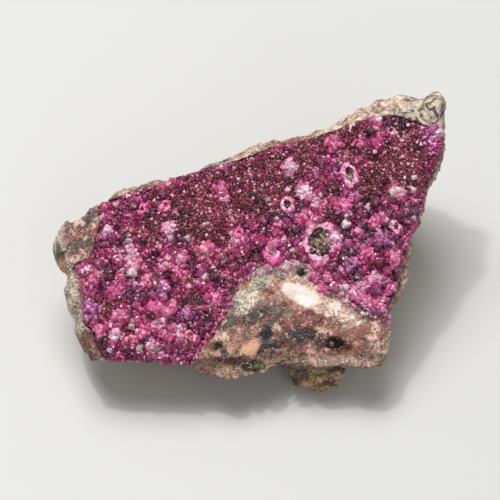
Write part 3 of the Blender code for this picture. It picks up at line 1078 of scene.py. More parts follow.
# The mottled stone's blots: their length in grains, how much noise they need, and their colour.
BLOTS = ((4.4, 0.57, (146, 88, 76)), (5.2, 0.55, (72, 68, 66)), (3.8, 0.58, (206, 180, 160)))
PALE_SPECK, DARK_SPECK, VEIN = (224, 200, 190), (60, 48, 46), (46, 48, 50)


@dataclass(frozen=True)
class StoneFinish:
    """Rough stone: its colours are stored on the mesh, broken up by grains, specks and dark veins.

    Attributes:
        name: the material's name.
        grain: the size of its grains.
        roughness: how dull it is.
        vein: how far apart its dark veins are.
    """

    name: str
    grain: float = 0.5
    roughness: float = 0.7
    vein: float = 2.1

    def material(self) -> bpy.types.Material:
        """Makes the node material.

        Returns:
            The material.
        """
        nodes = Nodes(self.name)
        stone = nodes.attribute(TINT)
        veined, smooth, mottled = nodes.split(nodes.attribute(MARKS))[:3]
        patchy = nodes.grade(nodes.noise(3.0 * self.grain, 5.0, 0.8), 0.36, 0.6, 0.5, 1.12)
        shaded = nodes.mix("MULTIPLY", 1.0, stone, patchy)
        bright, hue, _ = nodes.split(nodes.cells(self.grain))[:3]
        grains = nodes.mix("MULTIPLY", 1.0, shaded, nodes.grade(bright, 0.0, 1.0, 0.55, 1.45))
        rusty = nodes.grade(hue, 0.70, 0.82, 0.0, 0.55)
        warmed = nodes.mix("MULTIPLY", rusty, grains, (1.0, 0.66, 0.55, 1.0))
        specks = nodes.grade(nodes.noise(0.9 * self.grain, 4.0, 0.4), 0.61, 0.68, 0.0, 0.7)
        pale = nodes.mix("MIX", specks, warmed, (*linear(PALE_SPECK), 1.0))
        dark = nodes.grade(nodes.noise(1.4 * self.grain, 4.0, 0.6), 0.38, 0.44, 0.6, 0.0)
        specked = nodes.mix("MIX", dark, pale, (*linear(DARK_SPECK), 1.0))
        for length, low, colour in BLOTS:
            swells = nodes.noise(length * self.grain, 6.0, 0.04 * length)
            blots = nodes.grade(swells, low, low + 0.04, 0.0, 0.85)
            share = nodes.mix("MULTIPLY", 1.0, blots, mottled)
            specked = nodes.mix("MIX", share, specked, (*linear(colour), 1.0))
        calm = nodes.mix("MIX", nodes.mix("ADD", 0.5, smooth, veined), specked, stone)
        bands = nodes.grade(nodes.noise(1.9 * self.vein, 6.0, 0.8), 0.45, 0.55, -1.0, 1.0)
        edges = nodes.reach(bands)
        lines = nodes.mix("MULTIPLY", 1.0, nodes.grade(edges, 0.2, 0.7, 1.0, 0.0), veined)
        colour = nodes.mix("MIX", lines, calm, (*linear(VEIN), 1.0))
        nodes.bump(nodes.noise(0.6 * self.grain, 5.0), strength=0.75, distance=0.2)
        return nodes.finish(Base_Color=colour, Roughness=self.roughness, Metallic=0.0,
                            Specular_IOR_Level=0.35)


# Between which n a patch of the rock shows: anywhere, on the upper side, or only low down.
ANY_DEPTH = (-60.0, 10.0)
UPPER = (-6.0, 10.0)
LOWER = (-60.0, -4.5)


@dataclass(frozen=True)
class Patch:
    """A stretch of rock with its own colour.

    Attributes:
        spot: where it is on the face.
        colour: its colour, as a screen shows it.
        edge: how far its edge is softened, as a share of its size.
        waver: how far its edge wavers, in millimetres.
        depth: the least and greatest n at which it shows.
    """

    spot: Spot
    colour: Colour
    edge: float = 0.2
    waver: float = 0.8
    depth: tuple[float, float] = UPPER


# The rock's colours, as a screen shows them.
BROWN, DARK_BROWN, BEIGE, PALE_BROWN = (166, 126, 112), (118, 98, 90), (196, 174, 156), (160, 126, 110)
GREY_BEIGE, WHITE, CREAM, PEACH = (198, 190, 174), (224, 208, 198), (218, 192, 176), (212, 166, 136)
SLATE, DARK, RUST, RED_BROWN = (62, 72, 76), (40, 33, 31), (112, 44, 30), (134, 86, 78)
# The front lip's brown, darkened as painted shade where the lip faces down.
SHADED_LIP = (126, 104, 88)
PINK_GREY, TAN, OLIVE = (196, 160, 150), (146, 122, 90), (74, 66, 48)


@dataclass
class HostRock:
    """The rock that the crust grew on, with its bare front patch, corners, sides, back and foot.

    Attributes:
        skin: the surface that it is made from.
        ledge: how high its ledges are.
        ledge_length: how far apart they are.
        grain: how high its grains are.
        grain_length: how far apart they are.
        flat_to: how high above the floor the flat base starts to roughen, and where it is fully rough.
        patches: its named patches of colour; a later one lies over the earlier ones.
        veined: the stretches with dark veins.
        mottled: the stretches with blots.
        smooth: the stretches without grains.
    """

    skin: Skin = field(default_factory=lambda: Skin("host_rock", "host_rock_skin", 0.38))
    ledge: float = 0.3
    ledge_length: float = 2.6
    grain: float = 0.16
    grain_length: float = 0.8
    flat_to: tuple[float, float] = (0.2, 1.0)
    patches: tuple[Patch, ...] = (
        Patch(Spot(6.5, -14.0, 17.0, 6.5, -8), BROWN),
        Patch(Spot(3.9, -12.4, 3.6, 2.2), DARK_BROWN, 0.3),
        Patch(Spot(-3.6, -10.0, 1.4, 2.6, 10), DARK_BROWN, 0.3),
        Patch(Spot(10.3, -13.9, 3.4, 2.2), RED_BROWN, 0.3),
        Patch(Spot(19.9, -16.4, 4.4, 3.6), (136, 98, 86), 0.3),
        Patch(Spot(-6.9, -18.6, 4.2, 2.2, -8), (186, 144, 122), 0.3),
        Patch(Spot(-0.6, -9.0, 2.7, 2.1), GREY_BEIGE, 0.15, 0.6),
        Patch(Spot(1.9, -6.5, 1.7, 1.4), GREY_BEIGE, 0.15, 0.6),
        Patch(Spot(-1.2, -11.4, 1.8, 1.2), GREY_BEIGE, 0.2, 0.6),
        Patch(Spot(6.3, -4.7, 5.2, 1.3, -6), (214, 186, 178), 0.35, 0.8),
        Patch(Spot(-1.0, -6.9, 1.0, 0.8), PEACH, 0.3, 0.6),
        Patch(Spot(13.1, -10.7, 8.4, 1.7, -26), CREAM, 0.2, 0.9),
        Patch(Spot(17.4, -13.6, 1.0, 1.8), CREAM, 0.3, 0.8),
        Patch(Spot(9.0, -9.0, 3.5, 1.6, -24), WHITE, 0.1, 0.3),
        Patch(Spot(15.35, -11.0, 1.1, 0.75), WHITE, 0.12, 0.2),
        Patch(Spot(18.0, -12.2, 0.6, 1.2), WHITE, 0.15, 0.3),
        Patch(Spot(12.8, -15.7, 1.3, 0.6, -10), PEACH, 0.2, 0.5),
        Patch(Spot(18.3, -17.6, 1.0, 1.0), (206, 142, 106), 0.3, 0.5),
        Patch(Spot(22.0, -17.4, 1.2, 1.4), PINK_GREY, 0.25, 0.5),
        Patch(Spot(22.8, -14.4, 1.0, 0.8), PINK_GREY, 0.25, 0.5),
        Patch(Spot(0.0, -18.7, 1.7, 1.35, 8, 5), PEACH, 0.08, 0.35),
        Patch(Spot(3.6, -17.9, 2.2, 1.5), SLATE, 0.12, 1.6),
        Patch(Spot(2.95, -15.3, 0.8, 1.6), SLATE, 0.15, 1.2),
        Patch(Spot(7.8, -16.6, 2.4, 1.4, 25), SLATE, 0.12, 1.6),
        Patch(Spot(2.6, -12.4, 2.4, 1.4), (90, 82, 78), 0.2, 1.6),
        Patch(Spot(-4.4, -14.2, 1.2, 1.6), (114, 104, 96), 0.2, 1.4),
        Patch(Spot(-6.8, -16.1, 0.9, 0.7), SLATE, 0.15, 0.6),
        Patch(Spot(-5.65, -18.3, 1.0, 0.8), SLATE, 0.15, 0.6),
        Patch(Spot(-4.6, -19.4, 0.7, 0.6), SLATE, 0.15, 0.6),
        Patch(Spot(11.2, -16.2, 1.3, 0.75, -15), OLIVE, 0.15, 0.5),
        Patch(Spot(9.5, -20.5, 0.6, 0.8), DARK, 0.2, 0.4),
        Patch(Spot(14.5, -18.9, 2.5, 0.75), RUST, 0.2, 0.5),
        Patch(Spot(17.4, -18.3, 0.9, 0.9), RUST, 0.2, 0.5),
        Patch(Spot(15.35, -17.7, 1.7, 0.95, -18), (26, 14, 12), 0.1, 0.2),
        Patch(Spot(9.2, -5.0, 1.0, 0.9, -30), DARK, 0.15, 0.3),
        # The next three lines: the front lip's strip, darkened as painted shade; a thin dark painted shadow
        # under the ledge; and the beige below it, its own colour darkened with painted shade.
        Patch(Spot(8.0, -22.0, 18.0, 1.8), SHADED_LIP, 0.3, 0.5, ANY_DEPTH),
        Patch(Spot(-3.4, -20.9, 4.6, 0.7, -6), (98, 64, 58), 0.3, 0.4, ANY_DEPTH),
        Patch(Spot(-0.7, -23.0, 5.2, 1.0), (156, 132, 108), 0.2, 0.4, ANY_DEPTH),
        Patch(Spot(0.55, -22.2, 2.3, 1.1), (24, 30, 16), 0.12, 0.5, ANY_DEPTH),
        Patch(Spot(1.4, -22.0, 0.9, 0.4), (84, 104, 44), 0.3, 0.3, ANY_DEPTH),
        Patch(Spot(16.5, -21.0, 7.2, 1.1), (154, 132, 116), 0.2, 0.6, ANY_DEPTH),
        Patch(Spot(12.5, -24.6, 6.4, 3.0), TAN, 0.1, 0.6, LOWER),
        # Partly the foot's own dark brown, partly painted shade on its left side.
        Patch(Spot(8.8, -24.6, 1.6, 2.6), (88, 76, 60), 0.3, 0.6, LOWER),
        Patch(Spot(10.3, -26.0, 1.6, 0.8), (170, 132, 104), 0.3, 0.5, LOWER),
        Patch(Spot(14.9, -24.4, 2.4, 0.7, 10), (164, 136, 100), 0.3, 0.5, LOWER),
        # A painted shadow along the foot's lower edge.
        Patch(Spot(13.4, -25.5, 2.2, 0.5, 16), (96, 78, 56), 0.3, 0.4, LOWER),
        Patch(Spot(9.0, -22.7, 1.3, 0.6), SLATE, 0.2, 0.4, LOWER),
        Patch(Spot(15.4, -22.9, 1.8, 0.6), (50, 54, 34), 0.2, 0.4, LOWER),
        Patch(Spot(-30.4, 2.6, 3.2, 4.6), (140, 102, 92), 0.2),
        Patch(Spot(-29.0, 5.1, 1.1, 1.5), (84, 80, 80), 0.3),
        Patch(Spot(-33.3, -6.2, 11.0, 1.6, -75), GREY_BEIGE, 0.2, 0.5, ANY_DEPTH),
        Patch(Spot(31.0, 24.4, 7.5, 2.6, 12), (186, 170, 154), 0.25, 0.8, ANY_DEPTH),
        Patch(Spot(-34.4, -1.6, 0.9, 2.2, 10), (84, 84, 76), 0.3, 0.6, ANY_DEPTH),
        Patch(Spot(-33.7, -4.6, 0.8, 2.0, 12), (204, 156, 118), 0.4, 0.5, ANY_DEPTH),
        Patch(Spot(7.4, 18.6, 4.6, 1.7, 12), (152, 110, 100), 0.3, 0.8, ANY_DEPTH),
        Patch(Spot(-13.0, 12.5, 2.1, 0.5, 18), (78, 68, 70), 0.3, 0.5, UPPER),
        Patch(Spot(-5.0, 15.8, 1.0, 0.5, 15), (62, 66, 60), 0.3, 0.4, UPPER),
        Patch(Spot(-20.5, 10.0, 4.5, 0.5, 24), (110, 92, 84), 0.3, 0.5, UPPER),
        Patch(Spot(-28.8, -18.4, 2.0, 3.0), (120, 84, 72), 0.2),
    )
    veined: tuple[Spot, ...] = (Spot(31.5, 24.6, 4.6, 3.4), Spot(-34.0, 2.0, 2.2, 5.0))
    mottled: tuple[Spot, ...] = (
        Spot(1.0, -15.4, 9.0, 4.0, -14), Spot(11.0, -16.6, 6.0, 2.6, -12), Spot(20.8, -16.6, 3.4, 3.4),
        Spot(-30.4, 2.6, 3.0, 4.4),
    )
    smooth: tuple[Spot, ...] = (
        Spot(9.0, -9.0, 3.8, 1.9, -24), Spot(15.3, -11.0, 1.2, 0.9), Spot(0.0, -18.7, 1.8, 1.4, 8),
    )

    def build(self) -> bpy.types.Object:
        """Makes the rock's skin, roughens it and paints it.

        Returns:
            The rock's object.
        """
        obj = self.skin.build()
        self._roughen(obj.data)
        self._paint(obj.data)
        obj.data.shade_smooth()
        obj.data.materials.append(StoneFinish("breccia").material())
        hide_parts("host_rock")
        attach(obj, BODY)
        return obj

    def _roughen(self, mesh: bpy.types.Mesh) -> None:
        """Moves the skin's points in and out in ledges and grains, and keeps its base flat.

        Args:
            mesh: the skin's mesh.
        """
        places, normals = vertex_places(mesh), vertex_normals(mesh)
        local = FACE.from_row(places)
        ledges = np.array([noise.turbulence(Vector(p) / self.ledge_length, 3, True) for p in local]) - 0.5
        grains = waviness(local, self.grain_length, 2.0, 2)
        standing = smooth_step(*self.flat_to, places[:, 2] / MM)
        height = (self.ledge * ledges + self.grain * grains) * standing
        move_vertices(mesh, places + normals * (height * MM)[:, None])

    def _paint(self, mesh: bpy.types.Mesh) -> None:
        """Colours the skin by its named patches, and marks its veined, smooth and mottled stretches.

        Args:
            mesh: the skin's mesh.
        """
        local = FACE.from_row(vertex_places(mesh))
        colours = self._ground_colours(local)
        drift = np.column_stack([waviness(local, 1.5, seed, 3) for seed in (4.0, 5.0)])
        for patch in self.patches:
            moved = local.copy()
            moved[:, :2] += patch.waver * drift
            share = 1.0 - smooth_step(1.0 - patch.edge, 1.0 + patch.edge, patch.spot.reach(moved))
            share *= (local[:, 2] > patch.depth[0]) & (local[:, 2] < patch.depth[1])
            colours = colours * (1 - share[:, None]) + linear(patch.colour) * share[:, None]
        paint(mesh, TINT, colours)
        marks = np.zeros((len(local), 3))
        for column, spots in enumerate((self.veined, self.smooth, self.mottled)):
            least = np.min([spot.reach(local) for spot in spots], axis=0)
            marks[:, column] = 1.0 - smooth_step(0.8, 1.2, least)
        paint(mesh, MARKS, marks)

    def _ground_colours(self, local: Array) -> Array:
        """The colours of the rock away from its named patches.

        Args:
            local: places in the face's axes.

        Returns:
            Linear colours, one in each row.
        """
        large, small = waviness(local, 5.0, 9.0), waviness(local, 1.7, 11.0)
        share = smooth_step(-0.4, 0.35, large)[:, None]
        colours = linear(PALE_BROWN) * (1 - share) + linear(BEIGE) * share
        for colour, low in ((PINK_GREY, 0.15), (DARK_BROWN, -0.55)):
            share = 0.7 * smooth_step(low, low + 0.3, small if low > 0 else -small - 0.9)[:, None]
            colours = colours * (1 - share) + linear(colour) * share
        return colours


@dataclass
class RockGrains:
    """The loose-looking grains of the bare rock.

    Attributes:
        spacing: how far apart they are.
        size: the least and greatest size.
        facing: the least cosine of the angle between the ground's outward direction and n.
        lowest: the least n at which they lie.
        highest: the greatest v at which they lie.
        own_share: how much of a grain's colour is its own, at least and at most, and not the rock's.
        palette: their colours, which are mixed with the rock's own.
    """

    spacing: float = 0.5
    size: tuple[float, float] = (0.28, 0.6)
    facing: float = 0.15
    lowest: float = -6.5
    highest: float = 21.0
    own_share: tuple[float, float] = (0.15, 0.6)
    palette: Palette = Palette(
        ((150, 110, 98), (96, 74, 70), (204, 178, 164), (62, 54, 54), (150, 84, 62), (236, 218, 208)),
        (0.34, 0.24, 0.12, 0.14, 0.14, 0.02))

    def build(self, rock: bpy.types.Object) -> bpy.types.Object:
        """Strews the grains over the bare patch, the corners and the rock's front.

        Args:
            rock: the rock's object.

        Returns:
            The grains' object.
        """
        dice = np.random.default_rng(Seed.GRAINS)
        ground = Ground(rock)
        strewn = ground.strew(lambda p: np.full(len(p), self.spacing), self._on_rock, Seed.GRAIN_PLACES,
                              self.spacing, crowding=2.5)
        sizes = dice.uniform(*self.size, len(strewn.local))
        under = self._colours_under(rock, strewn)
        share = dice.uniform(*self.own_share, (len(sizes), 1))
        colours = under * (1 - share) + self.palette.pick(len(sizes), dice) * share
        grains = Crystals("rock_grains", (Form.CHIP,))
        grains.add(strewn, sizes, colours, dice, GRAIN_GROWTH)
        obj = grains.build()
        obj.data.materials.append(GrainFinish("rock_grains").material())
        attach(obj, BODY)
        return obj

    def _on_rock(self, local: Array, leans: Array) -> Array:
        """Whether a place is on the rock's front or top, outside the smooth patches.

        Args:
            local: places in the face's axes.
            leans: the surface's directions there, in the same axes.

        Returns:
            True or false for each place.
        """
        smooth = np.min([spot.reach(local) for spot in HostRock.smooth], axis=0)
        open_side = (leans[:, 2] > self.facing) & (local[:, 2] > self.lowest)
        return open_side & (smooth > 1.0) & (local[:, 1] < self.highest)

    def _colours_under(self, rock: bpy.types.Object, strewn: Strewing) -> Array:
        """The rock's own colour at each place.

        Args:
            rock: the rock's object.
            strewn: the places.

        Returns:
            Linear colours, one in each row.
        """
        mesh = rock.data
        tree = KDTree(len(mesh.vertices))
        for index, place in enumerate(vertex_places(mesh)):
            tree.insert(place, index)
        tree.balance()
        colours = np.empty(len(mesh.vertices) * 4, np.float32)
        mesh.color_attributes[TINT].data.foreach_get("color", colours)
        nearest = [tree.find(place)[1] for place in strewn.places]
        return colours.reshape(-1, 4)[nearest, :3].astype(float)


@dataclass(frozen=True)
class GrainFinish:
    """Dull grains whose colour is stored on each of them.

    Attributes:
        name: the material's name.
        roughness: how dull they are.
    """

    name: str
    roughness: float = 0.45

    def material(self) -> bpy.types.Material:
        """Makes the node material."""
        nodes = Nodes(self.name)
        return nodes.finish(Base_Color=nodes.attribute(TINT), Roughness=self.roughness, Metallic=0.0)


@dataclass
class CrustBed:
    """The crust's body under its crystals.

    Attributes:
        skin: the surface that it is made from.
        swell: how far its top swells, on average.
        root: how far its floor reaches down into the rock, past the solids' gap.
        top_from: the n from which its top starts to swell, and where it swells in full.
        floor_to: the n up to which its floor is lowered in full, and where that ends.
    """

    skin: Skin = field(default_factory=lambda: Skin("calcite_crust", "crust_bed", 0.42))
    swell: float = 0.12
    root: float = 0.6
    top_from: tuple[float, float] = (-1.5, -1.2)
    floor_to: tuple[float, float] = (-1.5, -1.3)

    def build(self) -> bpy.types.Object:
        """Makes the bed's skin, roughens it and paints it, dark olive in the rings' hollows.

        Returns:
            The bed's object.
        """
        obj = self.skin.build()
        mesh = obj.data
        places, normals = vertex_places(mesh), vertex_normals(mesh)
        local = FACE.from_row(places)
        top = smooth_step(*self.top_from, local[:, 2])
        height = self.swell * (1.0 + waviness(local, 0.9, 1.0, 2)) * top
        move_vertices(mesh, places + normals * (height * MM)[:, None])
        # The bed has the crust's colours, set a little darker than the crystals' as painted shade in the gaps
        # between them.
        calm = CrustColours(middle=0.33, drift=0.45, chance=0.03, sparkling=0.0)
        colours = calm.at(local, np.random.default_rng(Seed.BED))
        hollow = (1.0 - smooth_step(0.95, 1.15, ring_reach(local)))[:, None]
        colours = colours * (1 - hollow) + linear(HOLLOW) * hollow
        paint(mesh, TINT, colours)
        mesh.materials.append(BED_FINISH.material())
        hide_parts("calcite_crust")
        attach(obj, BODY)
        return obj

    def seat(self, bed: bpy.types.Object) -> None:
        """Lowers the bed's floor into the rock, once the crystals stand on the bed.

        Args:
            bed: the bed's object.
        """
        places = vertex_places(bed.data)
        low = 1.0 - smooth_step(*self.floor_to, FACE.from_row(places)[:, 2])
        move_vertices(bed.data, places - FACE.axes()[2] * (self.root * low * MM)[:, None])


class Tone(Enum):
    """The colours of rosettes and rings: the middle's, then the edge's."""

    PALE = ((252, 230, 238), (216, 92, 150))
    ROSY = ((244, 182, 208), (208, 62, 132))
    HOT = ((242, 138, 184), (202, 32, 116))
    SALMON = ((244, 168, 190), (206, 60, 112))
    VIOLET = ((200, 118, 178), (124, 30, 96))
    MILKY = ((246, 232, 230), (226, 168, 188))

    def mixed(self, share: Array) -> Array:
        """The colours at shares from 0 in the middle to 1 at the edge."""
        middle, edge = (linear(colour) for colour in self.value)
        return middle * (1 - share[:, None]) + edge * share[:, None]


@dataclass(frozen=True)
class Rosette:
    """A round cluster of crystals that lean outwards.

    Attributes:
        u: its middle along the face.
        v: its middle up the face.
        radius: how far it reaches.
        tone: its colours.
        size: its crystals' size.
        crowding: its number of crystals over the square of its radius, where their size is 1.
        lean: how far the crystals at its edge lean outwards, in degrees.
        dome: how high its middle stands over its edge, as a share of its radius.
    """

    u: float
    v: float
    radius: float
    tone: Tone
    size: float = 1.0
    crowding: float = 5.6
    lean: float = 48.0
    dome: float = 0.3

    def grow(self, crystals: Crystals, ground: Ground, dice: np.random.Generator) -> None:
        """Adds its crystals, spread in a spiral.

        Args:
            crystals: what they are added to.
            ground: what it grows on.
            dice: the source of chance.
        """
        number = max(7, int(self.crowding * self.radius ** 2 / self.size ** 2))
        out = self.radius * np.sqrt((np.arange(number) + 0.5) / number)
        around = np.arange(number) * math.pi * (3 - math.sqrt(5)) + dice.normal(0, 0.2, number)
        offset = np.column_stack((out * np.cos(around), out * np.sin(around)))
        strewn, met = ground.under(np.array([self.u, self.v]) + offset)
        out, offset = out[met], offset[met]
        share = out / self.radius
        axes = FACE.axes()
        lean = share * math.radians(self.lean)
        outward = (offset / out[:, None]) @ axes[:2]
        strewn.normals = outward * np.sin(lean)[:, None] + axes[2] * np.cos(lean)[:, None]
        strewn.places = strewn.places + axes[2] * (self.dome * self.radius * MM * (1 - share ** 2))[:, None]
        sizes = self.size * dice.uniform(0.75, 1.25, len(out))
        colours = self.tone.mixed(np.clip(share + dice.normal(0, 0.15, len(share)), 0, 1))
        crystals.add(strewn, sizes, colours, dice, ROSETTE_GROWTH)

    def covers(self, local: Array) -> Array:
        """Whether places in the face's axes are in the cluster's middle."""
        return Spot(self.u, self.v, 0.8 * self.radius, 0.8 * self.radius).reach(local) < 1.0


@dataclass(frozen=True)
class Ring:
    """A wall of crystal round a hollow.

    Attributes:
        hollow: the hollow's outline at the wall's crest.
        tone: the wall's colours, the crest's first.
        wall: how thick the wall is, in millimetres.
        crest: how high the wall stands over the crust.
        floor: how high the hollow's floor lies over the crust.
        inside: the hollow's colour.
    """

    hollow: Spot
    tone: Tone = Tone.PALE
    wall: float = 0.8
    crest: float = 0.75
    floor: float = 0.05
    inside: Colour = HOLLOW

    def profile(self) -> list[tuple[float, float, float]]:
        """The wall's profile from its foot to the hollow's middle.

        Returns:
            For each point how far it is outside the hollow's edge, its height, and how pale it is.
        """
        inner = min(self.hollow.half_length, self.hollow.half_width)
        return [
            (1.5 * self.wall, -0.5, 0.0),
            (1.0 * self.wall, 0.45 * self.crest, 0.25),
            (0.55 * self.wall, 0.9 * self.crest, 0.7),
            (0.2 * self.wall, self.crest, 1.0),
            (0.0, 0.75 * self.crest, 0.8),
            (-0.12 * inner, 0.35 * self.crest + 0.5 * self.floor, -0.5),
            (-0.35 * inner, self.floor, -1.0),
            (-0.75 * inner, self.floor - 0.05, -1.0),
        ]

    def model(self, bm: bmesh.types.BMesh, ground: Ground, dice: np.random.Generator) -> list[Array]:
        """Adds the wall and the hollow's floor to the bmesh.

        Args:
            bm: what it is added to.
            ground: what it grows on.
            dice: the source of chance.

        Returns:
            The colour of each point that was added.
        """
        steps = max(12, int(7.5 * (self.hollow.half_length + self.hollow.half_width)))
        around = np.arange(steps) * math.tau / steps
        turn = math.radians(self.hollow.turn)
        level = self._level(ground)
        broad = 0.3 * np.sin(2 * around + dice.uniform(0, 6))
        lobes = 1.0 + broad + 0.2 * np.sin(5 * around + dice.uniform(0, 6))
        loops, colours = [], []
        for out, height, pale in self.profile():
            out = out * lobes if out > 0 else np.full(steps, out)
            height = height * lobes if height > 0 else height
            wobble = dice.normal(0, 0.08 + 0.08 * self.wall, steps)
            long = (self.hollow.half_length + out + wobble) * np.cos(around)
            wide = (self.hollow.half_width + out + wobble) * np.sin(around)
            local = np.column_stack((
                self.hollow.u + long * math.cos(turn) - wide * math.sin(turn),
                self.hollow.v + long * math.sin(turn) + wide * math.cos(turn),
                level + height + dice.normal(0, 0.09, steps),
            ))
            loops.append([bm.verts.new(place) for place in FACE.to_row(local)])
            shade = np.exp(dice.normal(0, 0.3, (steps, 1)))
            tone = self.tone.mixed(np.full(steps, 1.0 - max(pale, 0.0)))
            dark = np.tile(linear(self.inside), (steps, 1))
            colours.append((tone if pale >= 0 else dark if pale <= -1 else 0.5 * (tone + dark)) * shade)
        for upper, lower in zip(loops, loops[1:]):
            for index in range(steps):
                following = (index + 1) % steps
                bm.faces.new((upper[index], upper[following], lower[following], lower[index]))
        bm.faces.new(loops[-1])
        return colours

    def covers(self, local: Array) -> Array:
        """Whether places in the face's axes are in the hollow or in its wall.

        Args:
            local: places in the face's axes.

        Returns:
            True or false for each place.
        """
        spot = replace(self.hollow, half_length=self.hollow.half_length + self.wall,
                       half_width=self.hollow.half_width + self.wall)
        return spot.reach(local) < 1.0

    def _level(self, ground: Ground) -> float:
        """The crust's height round the hollow.

        Args:
            ground: the crust.

        Returns:
            The height, as an n.
        """
        around = np.linspace(0, math.tau, 12, endpoint=False)
        reach = max(self.hollow.half_length, self.hollow.half_width) + self.wall
        circle = np.column_stack((np.cos(around), np.sin(around)))
        places = np.array([self.hollow.u, self.hollow.v]) + reach * circle
        strewn, _ = ground.under(places)
        return float(np.median(strewn.local[:, 2]))


# For each ring its hollow, tone, wall, crest and floor, and the colour inside where it isn't the usual one.
RING_WALLS = (
    Ring(RINGS[0], Tone.ROSY, 1.2, 0.85, -0.9),
    Ring(RINGS[1], Tone.ROSY, 0.8, 0.6, -0.6),
    Ring(RINGS[2], Tone.ROSY, 0.7, 0.6, -0.5),
    Ring(Spot(16.1, 13.5, 0.45, 0.5), Tone.VIOLET, 0.6, 0.5, 0.0, (70, 40, 56)),
    Ring(Spot(11.5, 7.8, 0.65, 0.65), Tone.ROSY, 0.7, 0.6, 0.4, (184, 168, 174)),
    Ring(Spot(26.3, 3.3, 0.5, 0.8), Tone.ROSY, 0.6, 0.6, 0.1, (112, 92, 92)),
    Ring(Spot(-19.5, 6.6, 0.45, 0.45), Tone.HOT, 0.75, 0.6, 0.2, (130, 22, 70)),
    Ring(Spot(-15.2, 7.2, 0.45, 0.45), Tone.HOT, 0.75, 0.6, 0.2, (120, 20, 70)),
    Ring(Spot(-4.9, 9.1, 0.55, 0.55), Tone.ROSY, 0.7, 0.6, 0.2, (120, 30, 80)),
    Ring(Spot(-1.9, 2.2, 0.4, 0.4), Tone.HOT, 0.7, 0.5, 0.2, (130, 22, 80)),
    Ring(Spot(-16.2, -14.4, 0.7, 0.7), Tone.ROSY, 0.7, 0.6, 0.3, (176, 140, 150)),
    Ring(Spot(-10.7, -16.6, 0.6, 0.6), Tone.SALMON, 0.6, 0.55, 0.2, (196, 130, 120)),
    Ring(Spot(-21.4, -17.3, 0.5, 0.5), Tone.SALMON, 0.6, 0.55, 0.2, (190, 130, 110)),
    Ring(Spot(25.6, 21.2, 0.5, 0.4), Tone.ROSY, 0.5, 0.35, 0.0, (90, 50, 60)),
    Ring(Spot(4.0, -1.6, 0.8, 0.8), Tone.HOT, 1.0, 0.6, 0.4, (150, 110, 140)),
)

# For each rosette its u, v, radius and tone, and its crystals' size where that isn't 1.
ROSETTES = (
    Rosette(9.9, 9.8, 1.7, Tone.PALE), Rosette(16.8, 6.8, 1.6, Tone.HOT), Rosette(9.8, 4.9, 1.5, Tone.HOT),
    Rosette(11.7, 4.3, 0.7, Tone.SALMON, 0.7), Rosette(15.3, 18.6, 1.4, Tone.HOT),
    Rosette(21.4, -1.6, 1.7, Tone.HOT), Rosette(24.1, 0.7, 1.6, Tone.VIOLET),
    Rosette(7.2, 14.1, 1.5, Tone.PALE), Rosette(-5.2, 10.2, 1.4, Tone.HOT),
    Rosette(-21.8, -1.6, 1.6, Tone.PALE), Rosette(-21.1, -3.7, 1.4, Tone.SALMON),
    Rosette(-8.2, -1.4, 1.8, Tone.SALMON, 1.2), Rosette(-15.6, -11.6, 2.1, Tone.HOT, 1.3),
    Rosette(-23.5, -13.5, 1.6, Tone.HOT, 1.2), Rosette(-6.6, -9.6, 1.4, Tone.HOT, 1.2),
    Rosette(-13.0, -15.8, 1.3, Tone.PALE), Rosette(-24.0, -16.5, 1.4, Tone.PALE),
    Rosette(-27.1, -15.6, 1.5, Tone.HOT, 1.1), Rosette(-28.7, -7.5, 1.5, Tone.HOT),
    Rosette(-28.4, -12.1, 1.7, Tone.VIOLET, 1.2), Rosette(-15.9, -8.9, 1.3, Tone.VIOLET),
    Rosette(-29.2, -4.7, 1.0, Tone.PALE, 0.8), Rosette(-14.6, 3.0, 1.4, Tone.PALE, 0.8),
    Rosette(-30.0, -11.2, 1.3, Tone.VIOLET), Rosette(13.6, -6.0, 1.2, Tone.HOT),
    Rosette(16.6, -8.0, 1.2, Tone.PALE, 0.8), Rosette(20.2, -7.4, 1.3, Tone.ROSY, 0.8),
    Rosette(25.2, -8.0, 1.2, Tone.HOT), Rosette(-17.6, -18.2, 1.2, Tone.PALE, 0.8),
    Rosette(20.4, -10.2, 1.3, Tone.HOT, 0.9), Rosette(23.4, -10.4, 1.4, Tone.HOT, 0.9),
    Rosette(27.0, 9.5, 1.2, Tone.PALE, 0.8), Rosette(15.4, 1.2, 1.3, Tone.PALE, 0.8),
    Rosette(-2.6, 0.6, 1.3, Tone.SALMON), Rosette(18.4, -3.4, 1.4, Tone.VIOLET),
    Rosette(-24.2, -8.4, 1.4, Tone.HOT), Rosette(-12.6, -4.6, 1.5, Tone.HOT),
    Rosette(-18.6, -6.6, 1.3, Tone.SALMON), Rosette(22.6, 4.2, 1.3, Tone.HOT),
    Rosette(19.6, 2.0, 1.2, Tone.HOT), Rosette(5.0, 3.2, 1.3, Tone.HOT),
    Rosette(-11.4, -12.6, 1.3, Tone.VIOLET), Rosette(-19.2, -16.0, 1.3, Tone.HOT),
    Rosette(26.0, -3.0, 1.3, Tone.HOT), Rosette(22.4, -6.0, 1.2, Tone.PALE, 0.8),
)

# The same for the rosettes along the front seam, which stand on the crust's bed or on the rock's edge.
SEAM_ROSETTES = (
    Rosette(6.2, -3.4, 1.4, Tone.MILKY, 0.7), Rosette(8.0, -3.0, 1.0, Tone.MILKY, 0.7),
    Rosette(2.0, -4.4, 1.1, Tone.MILKY, 0.6), Rosette(11.9, -5.8, 1.1, Tone.HOT, 0.7),
    Rosette(13.4, -7.6, 1.1, Tone.HOT, 0.7), Rosette(20.9, -10.5, 1.1, Tone.ROSY, 0.7),
    Rosette(24.0, -12.0, 1.2, Tone.ROSY, 0.7),
)

